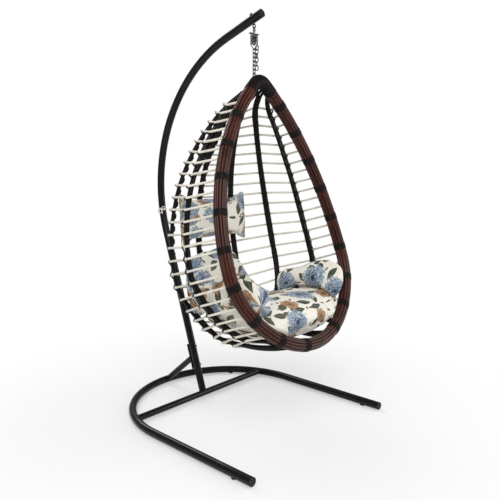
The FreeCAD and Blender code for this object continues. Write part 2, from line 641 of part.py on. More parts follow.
def make_hanger():
    wire = size("hanger_wire_radius")
    bolt = "Sizes.eye_bolt_diameter / 2"
    washer_height = size("washer_height")
    nut_height = size("bolt_nut_height")

    # eye bolt through the mast's end, its plane along the swing
    ring = torus("eye_ring", "Sizes.eye_radius", "Sizes.eye_wire_radius")
    place(ring, HOOK, Vector(1, 0, 0))
    above = TUBE + washer_height + nut_height + size("thread_end")
    shank = cylinder("eye_shank", bolt, f"{above + (HOOK - EYE_AXIS).Length - size('eye_radius')}")
    place(shank, EYE_AXIS - END_DOWN * above, END_DOWN)
    keep(fuse("eye_joined", [ring, shank]), "eye_bolt")
    bore_radius = f"{bolt} + Sizes.thread_play"
    upward = END_DOWN * -1
    nuts = {
        "eye_washer": ("Sizes.washer_height", EYE_AXIS + upward * TUBE, upward),
        "eye_nut_top": ("Sizes.bolt_nut_height", EYE_AXIS + upward * (TUBE + washer_height), upward),
        "eye_nut_bottom": ("Sizes.eye_nut_height", EYE_AXIS + END_DOWN * TUBE, END_DOWN),
    }
    for label, (height, start, way) in nuts.items():
        if label == "eye_washer":
            blank = cylinder(f"{label}_blank", "Sizes.washer_radius", height)
        else:
            blank = hexagon(f"{label}_blank", "Sizes.bolt_flats", height)
        place(blank, start, way)
        bore = place(cylinder(f"{label}_bore", bore_radius, height), start, way)
        keep(cut(f"{label}_bored", blank, bore), label)

    # small link in the eye, then the rod whose loop hangs in that link
    link = stadium(size("hanger_link_length"), size("hanger_link_width"), wire)
    link_centre = SWING_PIVOT - Vector(0, 0, size("hanger_link_length") / 2 + wire)
    feature("hanger_link", link_at(link, link_centre, 0))
    loop = torus("rod_loop", "Sizes.hanger_loop_radius", "Sizes.hanger_wire_radius")
    place(loop, SWAY_PIVOT - Vector(0, 0, size("hanger_loop_radius")), Vector(1, 0, 0))
    loop_foot = SWAY_PIVOT - Vector(0, 0, 2 * size("hanger_loop_radius"))
    seat_top = CAP_BOTTOM - size("spring_height")
    seat_bottom = seat_top - size("spring_plate")
    seat_nut_height = size("seat_nut_height")
    rod_end = seat_bottom - seat_nut_height - size("rod_tip")
    rod = cylinder("rod_shank", "Sizes.rod_shank_radius", f"{loop_foot.z - rod_end}")
    place(rod, loop_foot, Vector(0, 0, -1))
    keep(fuse("rod_joined", [loop, rod]), "hanger_rod")
    axis = Vector(0, HOOK.y, 0)
    snug = "Sizes.rod_shank_radius + Sizes.thread_play"
    seat_blank = cylinder("seat_blank", "Sizes.spring_seat_radius", "Sizes.spring_plate")
    place(seat_blank, axis + Vector(0, 0, seat_bottom))
    seat_bore = place(cylinder("seat_bore", snug, "Sizes.spring_plate"), axis + Vector(0, 0, seat_bottom))
    keep(cut("seat_bored", seat_blank, seat_bore), "spring_seat")
    nut_place = axis + Vector(0, 0, seat_bottom - seat_nut_height)
    nut_blank = place(hexagon("seat_nut_blank", "Sizes.seat_nut_flats", "Sizes.seat_nut_height"), nut_place)
    nut_bore = place(cylinder("seat_nut_bore", snug, "Sizes.seat_nut_height"), nut_place)
    keep(cut("seat_nut_bored", nut_blank, nut_bore), "seat_nut")

    # spring between the seat and the cap: one wire, each half turn a pair of arcs
    spring_wire = size("spring_wire_radius")
    spring_radius = size("spring_radius")
    turns = size("spring_turns")
    play = size("spring_play")
    climb = size("spring_height") - 2 * (spring_wire + play)
    slope = math.atan2(climb / turns, 2 * math.pi * spring_radius)
    points = []
    ways = []
    steps = int(4 * turns)
    for step in range(steps + 1):
        angle = step * math.pi / 2
        height = seat_top + spring_wire + play + climb * step / steps
        outward = Vector(math.cos(angle), math.sin(angle), 0)
        onward = Vector(-math.sin(angle), math.cos(angle), 0)
        points.append(Vector(0, HOOK.y, height) + outward * spring_radius)
        ways.append(onward * math.cos(slope) + Vector(0, 0, math.sin(slope)))
    print(f"spring self gap {climb / turns * math.cos(slope) - 2 * spring_wire:.2f} mm")
    feature("spring", bar(smooth_path(points, ways), spring_wire))

    # cap plate over the spring, and the wire bail that hangs from it
    bail_half = size("bail_half_width")
    cap_length = "2 * (Sizes.bail_half_width + Sizes.cap_margin)"
    plate = box("cap_blank", cap_length, "Sizes.cap_width", "Sizes.spring_plate")
    cap_corner = Vector(-bail_half - size("cap_margin"), HOOK.y - size("cap_width") / 2, CAP_BOTTOM)
    plate.Placement = Placement(cap_corner, Rotation())
    slide = cylinder("cap_bore", "Sizes.hanger_wire_radius + Sizes.cap_slide_play", "Sizes.spring_plate")
    bores = [place(slide, axis + Vector(0, 0, CAP_BOTTOM))]
    for name, sign in (("left", -1), ("right", 1)):
        bore_formula = "Sizes.hanger_wire_radius + Sizes.thread_play"
        bore = cylinder(f"cap_bore_{name}", bore_formula, "Sizes.spring_plate")
        bores.append(place(bore, Vector(sign * bail_half, HOOK.y, CAP_BOTTOM)))
    keep(cut("cap_drilled", plate, fuse("cap_bores", bores)), "spring_cap")
    cap_top = CAP_BOTTOM + size("spring_plate")
    sharp = BAIL_BOTTOM.z - BAIL_LIFT
    shoulder = sharp + bail_half
    corners = [
        Vector(-bail_half, HOOK.y, cap_top),
        Vector(-bail_half, HOOK.y, shoulder),
        Vector(0, HOOK.y, sharp),
        Vector(bail_half, HOOK.y, shoulder),
        Vector(bail_half, HOOK.y, cap_top),
    ]
    bail = bar(rounded_path(corners, BAIL_BEND), wire)
    heads = []
    for sign in (-1, 1):
        head_place = Vector(sign * bail_half, HOOK.y, cap_top)
        heads.append(Part.makeCylinder(size("bail_head_radius"), size("bail_head_height"), head_place))
    feature("bail", bail.fuse(heads))

    # load chain in a straight line, and the spare tail beside it
    chain_wire = size("chain_wire_radius")
    chain_link = stadium(size("chain_inner_length"), size("chain_inner_width"), chain_wire)
    pitch = size("chain_pitch")
    links = []
    for index in range(int(size("chain_links"))):
        turn = 0 if index % 2 else 90
        links.append(link_at(chain_link, FIRST_LINK - Vector(0, 0, pitch * index), turn))
    feature("load_chain", Part.makeCompound(links))
    ring_radius = size("tail_ring_radius")
    tail = [Part.makeTorus(ring_radius, wire, TAIL_TOP - Vector(0, 0, ring_radius), Vector(1, 0, 0))]
    drop = 2 * ring_radius + size("chain_inner_length") / 2 - wire - size("tail_play")
    hung = TAIL_TOP - Vector(0, 0, drop)
    for index, turn in enumerate(TAIL_TURNS):
        tail.append(link_at(chain_link, hung - Vector(0, 0, pitch * index), turn))
    feature("chain_tail", Part.makeCompound(tail))


# Places down the line of the hanger.
HOOK = EYE_AXIS + END_DOWN * (TUBE + size("eye_nut_height") + size("eye_wire_radius") + size("eye_radius"))
SWING_PIVOT = HOOK + Vector(
    0, 0, size("eye_wire_radius") + size("hanger_wire_radius") + size("hanger_play") - size("eye_radius")
)
SWAY_PIVOT = SWING_PIVOT + Vector(0, 0, size("hanger_play") - size("hanger_link_length"))
LOOP_DROP = 2 * size("hanger_loop_radius") + size("hanger_wire_radius")
CAP_BOTTOM = SWAY_PIVOT.z - LOOP_DROP - size("cap_gap") - size("spring_plate")
BAIL_BEND = 3 * size("hanger_wire_radius")
BAIL_BOTTOM = Vector(0, HOOK.y, CAP_BOTTOM - size("bail_drop") - size("bail_vee"))
FIRST_LINK = BAIL_BOTTOM + Vector(
    0, 0, size("hanger_wire_radius") + size("chain_play") - size("chain_inner_length") / 2
)
BAIL_LIFT = BAIL_BEND * (1 / math.cos(math.pi / 4) - 1)
TAIL_PIVOT = BAIL_BOTTOM + Vector(size("tail_offset"), 0, size("tail_offset") - BAIL_LIFT)
TAIL_TOP = TAIL_PIVOT + Vector(0, 0, size("tail_rise"))
LAST_LINK = FIRST_LINK - Vector(0, 0, size("chain_pitch") * (size("chain_links") - 1))
STAPLE_DROP = size("chain_inner_length") / 2 - size("staple_wire_radius") - size("staple_play")
STAPLE_TOP = LAST_LINK - Vector(0, 0, STAPLE_DROP)


# The rim's half outline, flat: tangent arcs from the apex to the bottom,
# as (radius, turn from, turn to, width, drop, run).
def rim_arcs():
    apex_turn = math.radians(size("rim_apex_turn"))
    turns = [0, apex_turn, math.pi / 2, math.radians(size("rim_hip_turn")), math.pi]
    radii = [size("rim_apex_radius"), size("rim_side_radius"), size("rim_hip_radius"), None]
    arcs = []
    width = 0
    drop = 0
    run = 0
    for index, radius in enumerate(radii):
        start = turns[index]
        end = turns[index + 1]
        if radius is None:
            radius = width / math.sin(start)
        arcs.append((radius, start, end, width, drop, run))
        width += radius * (math.sin(end) - math.sin(start))
        drop += radius * (math.cos(start) - math.cos(end))
        run += radius * (end - start)
    return arcs, drop, run


RIM_ARCS, RIM_DROP, RIM_RUN = rim_arcs()
RIM_TILT = math.radians(size("rim_tilt"))
RIM_APEX = Vector(0, HOOK.y - size("rim_setback"), size("rim_apex_height"))


def rim_flat(run):
    """Half width, drop and turn of the outline at a run from the apex."""
    for radius, start, end, width, drop, arc_run in reversed(RIM_ARCS):
        if run >= arc_run:
            turn = start + (run - arc_run) / radius
            half = width + radius * (math.sin(turn) - math.sin(start))
            return half, drop + radius * (math.cos(start) - math.cos(turn)), turn


def rim_run_at_drop(drop):
    for radius, start, end, width, arc_drop, arc_run in reversed(RIM_ARCS):
        if drop >= arc_drop:
            turn = math.acos(max(-1, math.cos(start) - (drop - arc_drop) / radius))
            return arc_run + radius * (turn - start)


def rim_run_at_half(half):
    """Run to a half width on the bottom arc."""
    radius, start, end, width, drop, arc_run = RIM_ARCS[-1]
    return arc_run + radius * (math.pi - math.asin(half / radius) - start)


def rim_frame(run):
    """Place on the rim with its direction, the way back and the way in."""
    half, drop, turn = rim_flat(run)
    share = drop / RIM_DROP
    bow = size("rim_bow")
    place_on = RIM_APEX + Vector(
        half, 4 * bow * share * (1 - share) - math.sin(RIM_TILT) * drop, -math.cos(RIM_TILT) * drop
    )
    slope = 4 * bow * (1 - 2 * share) / RIM_DROP - math.sin(RIM_TILT)
    down = Vector(0, slope, -math.cos(RIM_TILT)).normalize()
    way = (Vector(math.cos(turn), 0, 0) + down * math.sin(turn)).normalize()
    back = Vector(1, 0, 0).cross(down).normalize()
    return place_on, way, back, back.cross(way)


def rim_path(runs, back_offset=0, in_offset=0):
    """Arcs along the rim through the given runs; a negative run is on the left half."""
    points = []
    ways = []
    for run in runs:
        place_on, way, back, inward = rim_frame(abs(run))
        point = place_on + back * back_offset + inward * in_offset
        if run < 0:
            point = flipped(point)
            way = Vector(way.x, -way.y, -way.z)
        if runs[-1] < runs[0]:
            way = way * -1
        points.append(point)
        ways.append(way)
    return smooth_path(points, ways)


def rim_stations():
    steps = (1, 4, 1, 2)
    runs = []
    for (radius, start, end, width, drop, run), count in zip(RIM_ARCS, steps):
        runs.extend(run + radius * (end - start) * step / count for step in range(count))
    return runs + [RIM_RUN]


def sleeve(runs):
    inner = size("cane_ring_radius") + size("cane_radius") + size("binding_play")
    edges = rim_path(runs)
    return bar(edges, size("binding_radius")).cut(bar(edges, inner))


def make_rim():
    stations = rim_stations()
    edges = rim_path(stations)
    core_radius = size("rim_core_radius")
    core = bar(edges, core_radius).cut(bar(edges, core_radius - size("rim_core_wall")))
    mirrored("rim_core_left", feature("rim_core_right", core))
    canes = []
    count = int(size("cane_count"))
    ring = size("cane_ring_radius")
    for index in range(count):
        angle = (index + 0.5) * 2 * math.pi / count
        edges = rim_path(stations, ring * math.cos(angle), ring * math.sin(angle))
        canes.append(bar(edges, size("cane_radius")))
    mirrored("rim_canes_left", feature("rim_canes_right", Part.makeCompound(canes)))
    half = size("binding_length") / 2
    for side, sign in (("left", -1), ("right", 1)):
        sleeves = []
        for index in range(int(size("binding_count"))):
            middle = size(f"binding_first_{side}") + size("binding_step") * index
            sleeves.append(sleeve([sign * (middle - half), sign * middle, sign * (middle + half)]))
        feature(f"rim_bindings_{side}", Part.makeCompound(sleeves))
    length = size("apex_binding_length")
    bend_run = RIM_ARCS[1][5]
    feature("apex_binding", sleeve([-length, -bend_run, 0, bend_run, length]))

    # staple behind the apex that the chain holds
    arch = size("staple_radius")
    foot = STAPLE_TOP - Vector(0, 0, arch + size("staple_leg"))
    spring_line = STAPLE_TOP - Vector(0, 0, arch)
    side = Vector(arch, 0, 0)
    edges = [
        Part.LineSegment(foot - side, spring_line - side).toShape(),
        Part.Arc(spring_line - side, STAPLE_TOP, spring_line + side).toShape(),
        Part.LineSegment(spring_line + side, foot + side).toShape(),
    ]
    feature("apex_staple", bar(edges, size("staple_wire_radius")))


def row_depth(share):
    return size("basket_depth") * (1 - (1 - share / DEPTH_SHARE) ** 2) ** DEPTH_POWER


def rib_points(rib):
    """Middle line of one rib from behind the rim's top, down the back and forward under the seat."""
    width_share, depth_share = RIB_SHARES[rib]
    slope = math.radians(size("row_slope"))
    backward = Vector(0, math.cos(slope), -math.sin(slope))
    behind = size("binding_radius") + size("rod_radius") + size("rod_play")
    start, way, back, inward = rim_frame(rim_run_at_drop(RIB_START_SHARE[rib] * RIM_DROP))
    points = [Vector(start.x * min(width_share, 1), start.y, start.z) + back * behind]
    for share in ROW_SHARES:
        on_rim = rim_frame(rim_run_at_drop(share * RIM_DROP))[0]
        level = Vector(on_rim.x * width_share, on_rim.y, on_rim.z)
        points.append(level + backward * (depth_share * row_depth(share)))
    bottom = rim_frame(RIM_RUN)[0]
    points.extend(Vector(x, bottom.y + behind_rim, height) for x, behind_rim, height in RIB_UNDERSIDE[rib])
    end, way, back, inward = rim_frame(rim_run_at_half(RIB_END_X[rib]))
    points.append(end + back * behind)
    return points


def place_along(edges, run):
    """Point at a run along a path of joined arcs."""
    for edge in edges:
        if run <= edge.Length:
            break
        run -= edge.Length
    return edge.valueAt(edge.getParameterByLength(min(run, edge.Length)))


def row_run(line, number):
    first, step, growth = ROW_RUNS[line]
    return first + step * number + growth * number ** 2


def row_rings(lines):
    """Right-hand corners of every row: the rim, then the three ribs."""
    paths = {rib: smooth_path(points, ways_through(points)) for rib, points in lines.items()}
    rings = []
    for number in range(1, ROW_COUNT + 1):
        ring = [rim_frame(row_run("rim", number))[0]]
        for rib, edges in paths.items():
            ring.append(place_along(edges, row_run(rib, number)))
        rings.append(ring)
    return rings


def outward_at(before, here, after):
    """Way out of a row's corner, and half the angle the row turns there."""
    arriving = (here - before).normalize()
    leaving = (after - here).normalize()
    out = (arriving - leaving).normalize()
    return out, arriving.getAngle(leaving) / 2


def rib_outward(lines, rib, level):
    """Way out of the basket at a point of a rib, from the neighbouring ribs or the rim at the same row."""
    names = list(lines)
    number = names.index(rib)
    if number == 0:
        share = ROW_SHARES[min(level, len(ROW_SHARES)) - 1]
        before = rim_frame(rim_run_at_drop(share * RIM_DROP))[0]
    else:
        before = lines[names[number - 1]][level]
    here = lines[rib][level]
    after = flipped(here) if number == len(names) - 1 else lines[names[number + 1]][level]
    return outward_at(before, here, after)[0]


def rod_edges(lines, rib, sign):
    """Path of one of a rib's two rods, beside its middle line."""
    points = lines[rib]
    ways = ways_through(points)
    last = len(points) - 2
    outs = [rib_outward(lines, rib, min(max(level, 1), last)) for level in range(len(points))]
    beside = []
    for level, point in enumerate(points):
        before = outs[max(level - 1, 0)]
        after = outs[min(level + 1, len(points) - 1)]
        out = before + outs[level] * 2 + after
        across = ways[level].cross(out).normalize()
        beside.append(point + across * (sign * size("rod_half_gap")))
    return smooth_path(beside, ways_through(beside))


def gap_to(points, start, end):
    """Least distance from the points to the straight span."""
    run = end - start
    least = math.inf
    for point in points:
        share = min(max((point - start).dot(run) / run.dot(run), 0), 1)
        least = min(least, point.distanceToPoint(start + run * share))
    return least


def row_corners(ring, rod_points):
    """Corners of a cord row, set out until its spans clear the rods, and how far each span stops short."""
    cord = size("cord_radius")
    clear = size("rod_radius") + cord + size("cord_play")
    whole = ring + [flipped(ring[-1])]
    outs = [None]
    trims = [size("binding_radius") + size("cord_rim_gap")]
    corners = list(ring)
    for index in range(1, len(ring)):
        out, half_turn = outward_at(whole[index - 1], whole[index], whole[index + 1])
        outs.append(out)
        trims.append(cord * math.tan(half_turn) + size("cord_stop"))
        corners[index] = ring[index] + out * clear
    for attempt in range(ROW_ATTEMPTS):
        for index in range(1, len(ring)):
            after = flipped(corners[index]) if index == len(ring) - 1 else corners[index + 1]
            gap = min(
                gap_to(rod_points[index - 1], corners[index - 1], corners[index]),
                gap_to(rod_points[index - 1], corners[index], after),
            )
            if gap < clear:
                corners[index] = corners[index] + outs[index] * (STEP_SHARE * (clear - gap) + STEP_LEAST)
    corners.append(flipped(corners[-1]))
    trims.append(trims[-1])
    return corners, trims


def make_ribs_and_cords():
    lines = {rib: rib_points(rib) for rib in RIB_SHARES}
    rod_points = []
    for rib in lines:
        rods = []
        samples = []
        for sign in (-1, 1):
            edges = rod_edges(lines, rib, sign)
            rods.append(bar(edges, size("rod_radius")))
            for edge in edges:
                samples.extend(edge.discretize(max(3, int(edge.Length / 4))))
        rod_points.append(samples)
        mirrored(f"rib_{rib}_left", feature(f"rib_{rib}_right", Part.makeCompound(rods)))

    panels = {"cords_front": [], "cords_side": [], "cords_rear": [], "cords_back": []}
    for ring in row_rings(lines):
        near = [[point for point in samples if abs(point.distanceToPoint(corner)) < NEAR_ROW]
                for samples, corner in zip(rod_points, ring[1:])]
        corners, trims = row_corners(ring, near)
        for index, panel in enumerate(panels):
            run = corners[index + 1] - corners[index]
            length = run.Length - trims[index] - trims[index + 1]
            run.normalize()
            start = corners[index] + run * trims[index]
            panels[panel].append(Part.makeCylinder(size("cord_radius"), length, start, run))
    for panel in ("cords_front", "cords_side", "cords_rear"):
        mirrored(f"{panel}_left", feature(f"{panel}_right", Part.makeCompound(panels[panel])))
    feature("cords_back", Part.makeCompound(panels["cords_back"]))


# Reach about a row's corner in which rods can touch its cord, the rounds of setting its corners out,
# and each step outward: a share of what is missing and a least step.
NEAR_ROW = 60
ROW_ATTEMPTS = 30
STEP_SHARE = 1.1
STEP_LEAST = 0.05

# Rows of the basket as shares of the rim's drop.
ROW_SHARES = [RIB_FIRST_ROW + RIB_ROW_STEP * index for index in range(RIB_ROW_COUNT)]


# How far a cushion's edge bulges, against half its thickness there.
EDGE_ROUND = 0.8


def cushion(sections, edge_share):
    """A stuffed cushion lofted through sections of four arcs: crowned faces between rounded edges."""
    wires = []
    for at, low, high, half_depth, middle in sections:
        edge = half_depth * edge_share
        bulge = EDGE_ROUND * edge
        front = middle - edge
        rear = middle + edge
        centre_height = (low + high) / 2
        corners = [
            Vector(at, front, high - bulge),
            Vector(at, rear, high - bulge),
            Vector(at, rear, low + bulge),
            Vector(at, front, low + bulge),
        ]
        crowns = [
            Vector(at, middle, high),
            Vector(at, middle + half_depth, centre_height),
            Vector(at, middle, low),
            Vector(at, middle - half_depth, centre_height),
        ]
        arcs = []
        for corner in range(4):
            following = corners[(corner + 1) % 4]
            arcs.append(Part.Arc(corners[corner], crowns[corner], following).toShape())
        wires.append(Part.Wire(arcs))
    return Part.makeLoft(wires, True, False)


# How far a cushion is pressed back from its neighbours, as a share of their size.
PRESS_SHARE = 0.006


def trimmed(shape, others):
    """A cushion pressed back from its neighbours by a hair's breadth."""
    for other in others:
        for scale in (1 + PRESS_SHARE, 1, 1 - PRESS_SHARE):
            pieces = shape.cut(other.scaled(scale, other.CenterOfMass)).Solids
            shape = max(pieces, key=lambda piece: piece.Volume)
    return shape


def make_cushions():
    shapes = {}
    for label, (sections, edge_share, centre, lean, turn) in CUSHIONS.items():
        rotation = Rotation(Vector(0, 0, 1), turn).multiply(Rotation(Vector(1, 0, 0), lean))
        shape = cushion(sections, edge_share)
        shape.Placement = Placement(Vector(*centre), rotation)
        shapes[label] = shape
    seat = shapes["seat_cushion"]
    back = trimmed(shapes["back_cushion"], [seat])
    left_side = shapes["side_cushion_left"].mirror(Vector(0, 0, 0), Vector(1, 0, 0))
    feature("seat_cushion", seat)
    feature("back_cushion", back)
    feature("side_cushion_right", trimmed(shapes["side_cushion_right"], [seat, back]))
    feature("side_cushion_left", trimmed(left_side, [seat, back]))
    feature("head_pillow", shapes["head_pillow"])


def make_mast_tie():
    """Two turns of cord round the mast with a knot and a short end."""
    centre = BEND_CENTRE + Vector(0, math.cos(TIE_ANGLE), math.sin(TIE_ANGLE)) * size("mast_bend_radius")
    along = Vector(0, -math.sin(TIE_ANGLE), math.cos(TIE_ANGLE))
    outward = Vector(0, math.cos(TIE_ANGLE), math.sin(TIE_ANGLE))
    wire = size("tie_wire_radius")
    ring = TUBE + wire + size("tie_play")
    turns = []
    for sign in (-1, 1):
        turn_centre = centre + along * (sign * (wire + size("tie_play") / 3))
        turns.append(Part.makeTorus(ring, wire, turn_centre, along))
    side = Vector(-1, 0, 0)
    knot = Part.makeSphere(size("tie_knot_radius"), centre + side * (ring + wire))
    start = centre + side * (ring + 2 * wire)
    bend = start - along * (size("tie_end") * 3 / 8) + side * (1.5 * wire)
    end = start - along * size("tie_end") + side * (2 * wire) + outward * (1.5 * wire)
    tail = bar(rounded_path([start, bend, end], 3 * wire), size("tie_end_radius"))
    feature("mast_tie", turns[0].fuse(turns[1:] + [knot, tail]))


TIE_ANGLE = math.asin((size("tie_height") - BEND_CENTRE.z) / size("mast_bend_radius"))

make_stand()
make_hanger()
make_rim()
make_ribs_and_cords()
make_cushions()
make_mast_tie()
doc.recompute()

pivots = {"swing": SWING_PIVOT, "sway": SWAY_PIVOT, "tail": TAIL_PIVOT, "twist": STAPLE_TOP}
for name, pivot in pivots.items():
    print(f"{name} pivot {pivot.x:.3f} {pivot.y:.3f} {pivot.z:.3f}")
for item in doc.Objects:
    if "Invalid" in item.State or "Error" in item.State:
        raise RuntimeError(f"{item.Label}: {item.State}")
os.makedirs("parts", exist_ok=True)
for item in sub_parts:
    shape = item.Shape
    if shape.isNull() or not shape.isValid():
        raise RuntimeError(f"{item.Label}: shape is null or not valid")
    shape.exportStep(os.path.join("parts", f"{item.Label}.step"))
    print(f"{item.Label}: {len(shape.Solids)} solids, {shape.Volume / 1000:.1f} cm3")
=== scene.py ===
import json
import math

import bmesh
import bpy
import numpy as np
from mathutils import Matrix, Vector


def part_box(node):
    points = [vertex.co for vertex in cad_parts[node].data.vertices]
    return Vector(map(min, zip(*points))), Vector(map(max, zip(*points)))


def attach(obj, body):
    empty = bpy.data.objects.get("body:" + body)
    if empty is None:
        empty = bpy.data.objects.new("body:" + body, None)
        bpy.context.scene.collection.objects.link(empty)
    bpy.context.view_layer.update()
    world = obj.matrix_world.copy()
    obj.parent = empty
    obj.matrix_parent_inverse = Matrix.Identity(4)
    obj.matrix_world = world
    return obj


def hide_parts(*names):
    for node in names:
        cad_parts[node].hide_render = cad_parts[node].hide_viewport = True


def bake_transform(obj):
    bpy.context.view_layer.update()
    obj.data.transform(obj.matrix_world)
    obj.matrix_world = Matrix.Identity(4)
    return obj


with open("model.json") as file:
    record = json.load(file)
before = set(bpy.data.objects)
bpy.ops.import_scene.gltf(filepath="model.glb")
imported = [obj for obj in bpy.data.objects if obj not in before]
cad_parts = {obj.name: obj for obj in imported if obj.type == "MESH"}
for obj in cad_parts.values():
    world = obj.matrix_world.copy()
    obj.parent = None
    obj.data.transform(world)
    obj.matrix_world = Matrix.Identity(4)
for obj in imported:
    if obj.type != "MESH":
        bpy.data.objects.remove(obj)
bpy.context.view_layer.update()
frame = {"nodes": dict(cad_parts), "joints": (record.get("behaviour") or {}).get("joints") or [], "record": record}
nodes = frame["nodes"]
joints = {joint["name"]: joint for joint in frame["joints"]}
scene = bpy.context.scene
chance = np.random.default_rng(7)

# How strongly the white surround lights the chair, and how strongly glossy surfaces mirror it.
WORLD_LIGHT = 0.55
WORLD_MIRRORED = 0.25

# Photograph's camera, in metres and degrees.
PHOTO_SIZE = 500
FOCAL_PIXELS = 570.13
SENSOR_WIDTH = 36
CAMERA_PLACE = (-2.005, -1.94575, 1.227)
CAMERA_AZIMUTH = math.radians(-47.6)
CAMERA_DIP = math.radians(8.245)

# Rim of the basket: tangent arcs from the apex to the bottom of a leaning, bowed half outline.
HOOK_Y = joints["swing"]["pos_m"][1]
RIM_APEX = Vector((0, HOOK_Y - 0.034, 1.6135))
RIM_TILT = math.radians(16)
RIM_BOW = 0.045
RIM_RADII = [0.045, 1.127, 0.293]
RIM_TURNS = [0, math.radians(42), math.radians(90), math.radians(120), math.pi]
CANE_COUNT = 12
CANE_RADIUS = 0.00585
CANE_RING = 0.023
CANE_STEP = 0.009
BINDING_RING = 0.0295
BINDING_STRIP = 0.0075
BINDING_THICKNESS = 0.0013
BINDING_COVER = 0.96
BINDING_TURNS = 4
BINDING_COUNT = 9
BINDING_PITCH = 0.155
BINDING_FIRST = {-1: 0.256, 1: 0.165}
APEX_BINDING_HALF = 0.092

# Cords, the black strip wound round the two rods of each rib and the lacing that holds the cords to it.
CORD_RADIUS = 0.0053
CORD_TUCK = 0.012
WRAP_RADIUS = 0.0079
WRAP_WIDER = 0.0012
WRAP_TURN = 0.008
WRAP_SEAM = 0.0009
WRAP_SIDES = 8
WRAP_CUTS = 64
CUT_TOLERANCE = 0.4
LACING_RADIUS = 0.0036
LACING_SHIFT = 0.0095
LACING_LIFT = 0.0072
LACING_DIPS = (0.3, 0.5, 0.7)
LACING_BED = 0.6
# Share of a cord's span at each end over which it bends round a rib.
CORD_BEND = 0.08
# From the middle of the back's cords to the hub inside the basket about which rows follow each other.
ROW_HUB_SHIFT = Vector((0, 0.05, 0.1))
# Turns about the middle of a rib, up from the way back, between which it is cut across to find its rods.
RIB_TOP = math.radians(100)
RIB_FOOT = math.radians(-130)

# Cushions: lean about X and turn about Z of each, its half sizes and its fill.
CUSHIONS = {
    "seat_cushion": {"lean": 86, "turn": 0, "half": (0.298, 0.086, 0.233), "fill": 0.75},
    "back_cushion": {"lean": -12, "turn": 0, "half": (0.30, 0.054, 0.152), "fill": 0.65},
    "side_cushion_right": {"lean": 14, "turn": 90, "half": (0.20, 0.048, 0.105), "fill": 0.65},
    "side_cushion_left": {"lean": 14, "turn": -90, "half": (0.245, 0.048, 0.105), "fill": 0.65},
    "head_pillow": {"lean": -3, "turn": 2, "half": (0.228, 0.046, 0.115), "fill": 0.6},
}
CUSHION_VOXEL = 0.0065
CUSHION_SHRINK = 0.007
CUSHION_LIMIT = 0.022
CUSHION_PRESSURE = 4
CUSHION_FRAMES = 20

# Tucks sewn across the seat's right front: lines of places on its cover, their depths and half width, and the
# swell beside each, as a share of its depth at so many half widths from it.
SEAT_TUCKS = [
    [(0.325, -0.215, 0.618), (0.272, -0.315, 0.616), (0.196, -0.414, 0.606),
     (0.170, -0.462, 0.556), (0.166, -0.452, 0.50)],
    [(0.330, -0.320, 0.624), (0.290, -0.395, 0.620), (0.240, -0.448, 0.590),
     (0.222, -0.455, 0.545), (0.215, -0.44, 0.51)],
    [(0.250, -0.200, 0.612), (0.190, -0.320, 0.614), (0.110, -0.425, 0.604),
     (0.085, -0.470, 0.550), (0.080, -0.46, 0.49)],
]
TUCK_DEPTHS = [0.010, 0.009, 0.004]
TUCK_HALF_WIDTH = 0.011
TUCK_SWELL = 0.35
TUCK_SWELL_PLACE = 2.2
# How far the sides of the head pillow draw in between its corners, and the share of that at their middles.
PILLOW_DRAW = 0.03
PILLOW_MIDDLE = 0.6
# How far the print moves along and round from one cushion to the next.
PRINT_SHIFT = (0.37, 0.23)


def give(tree, socket, value):
    if isinstance(value, bpy.types.NodeSocket):
        tree.links.new(value, socket)
    else:
        socket.default_value = value


def add(tree, kind, inputs=None, **settings):
    """A node with its settings; its inputs are values, or sockets to link."""
    item = tree.nodes.new(kind)
    for name, value in settings.items():
        setattr(item, name, value)
    for name, value in (inputs or {}).items():
        give(tree, item.inputs[name], value)
    return item


def calc(tree, operation, *values):
    item = add(tree, "ShaderNodeMath", operation=operation)
    for index, value in enumerate(values):
        give(tree, item.inputs[index], value)
    return item.outputs[0]


def times(tree, first, second):
    return calc(tree, "MULTIPLY", first, second)


def vector_calc(tree, operation, *values):
    item = add(tree, "ShaderNodeVectorMath", operation=operation)
    for index, value in enumerate(values):
        if operation == "SCALE" and index == 1:
            give(tree, item.inputs["Scale"], value)
        else:
            give(tree, item.inputs[index], value)
    return item.outputs["Value" if operation == "LENGTH" else "Vector"]


def rescale(tree, value, low, high, new_low, new_high, smooth=False):
    kind = "SMOOTHSTEP" if smooth else "LINEAR"
    inputs = {"Value": value, "From Min": low, "From Max": high, "To Min": new_low, "To Max": new_high}
    return add(tree, "ShaderNodeMapRange", inputs, interpolation_type=kind).outputs["Result"]


def mix_colour(tree, factor, first, second):
    return add(tree, "ShaderNodeMix", {0: factor, 6: first, 7: second}, data_type="RGBA").outputs[2]


def mix_value(tree, factor, first, second):
    return add(tree, "ShaderNodeMix", {0: factor, 2: first, 3: second}, data_type="FLOAT").outputs[0]


def ramp(tree, value, stops):
    item = add(tree, "ShaderNodeValToRGB", {"Fac": value})
    elements = item.color_ramp.elements
    while len(elements) < len(stops):
        elements.new(0.5)
    for element, (place, colour) in zip(elements, stops):
        element.position = place
        element.color = (*colour, 1)
    return item.outputs["Color"]


def noise(tree, vector, scale, detail=2, kind="3D"):
    inputs = {"Vector": vector, "Scale": scale, "Detail": detail}
    return add(tree, "ShaderNodeTexNoise", inputs, noise_dimensions=kind).outputs["Fac"]


def object_place(tree):
    return tree.nodes.new("ShaderNodeTexCoord").outputs["Object"]


def uv_place(tree):
    return tree.nodes.new("ShaderNodeUVMap").outputs["UV"]


def split(tree, vector):
    return add(tree, "ShaderNodeSeparateXYZ", {"Vector": vector}).outputs


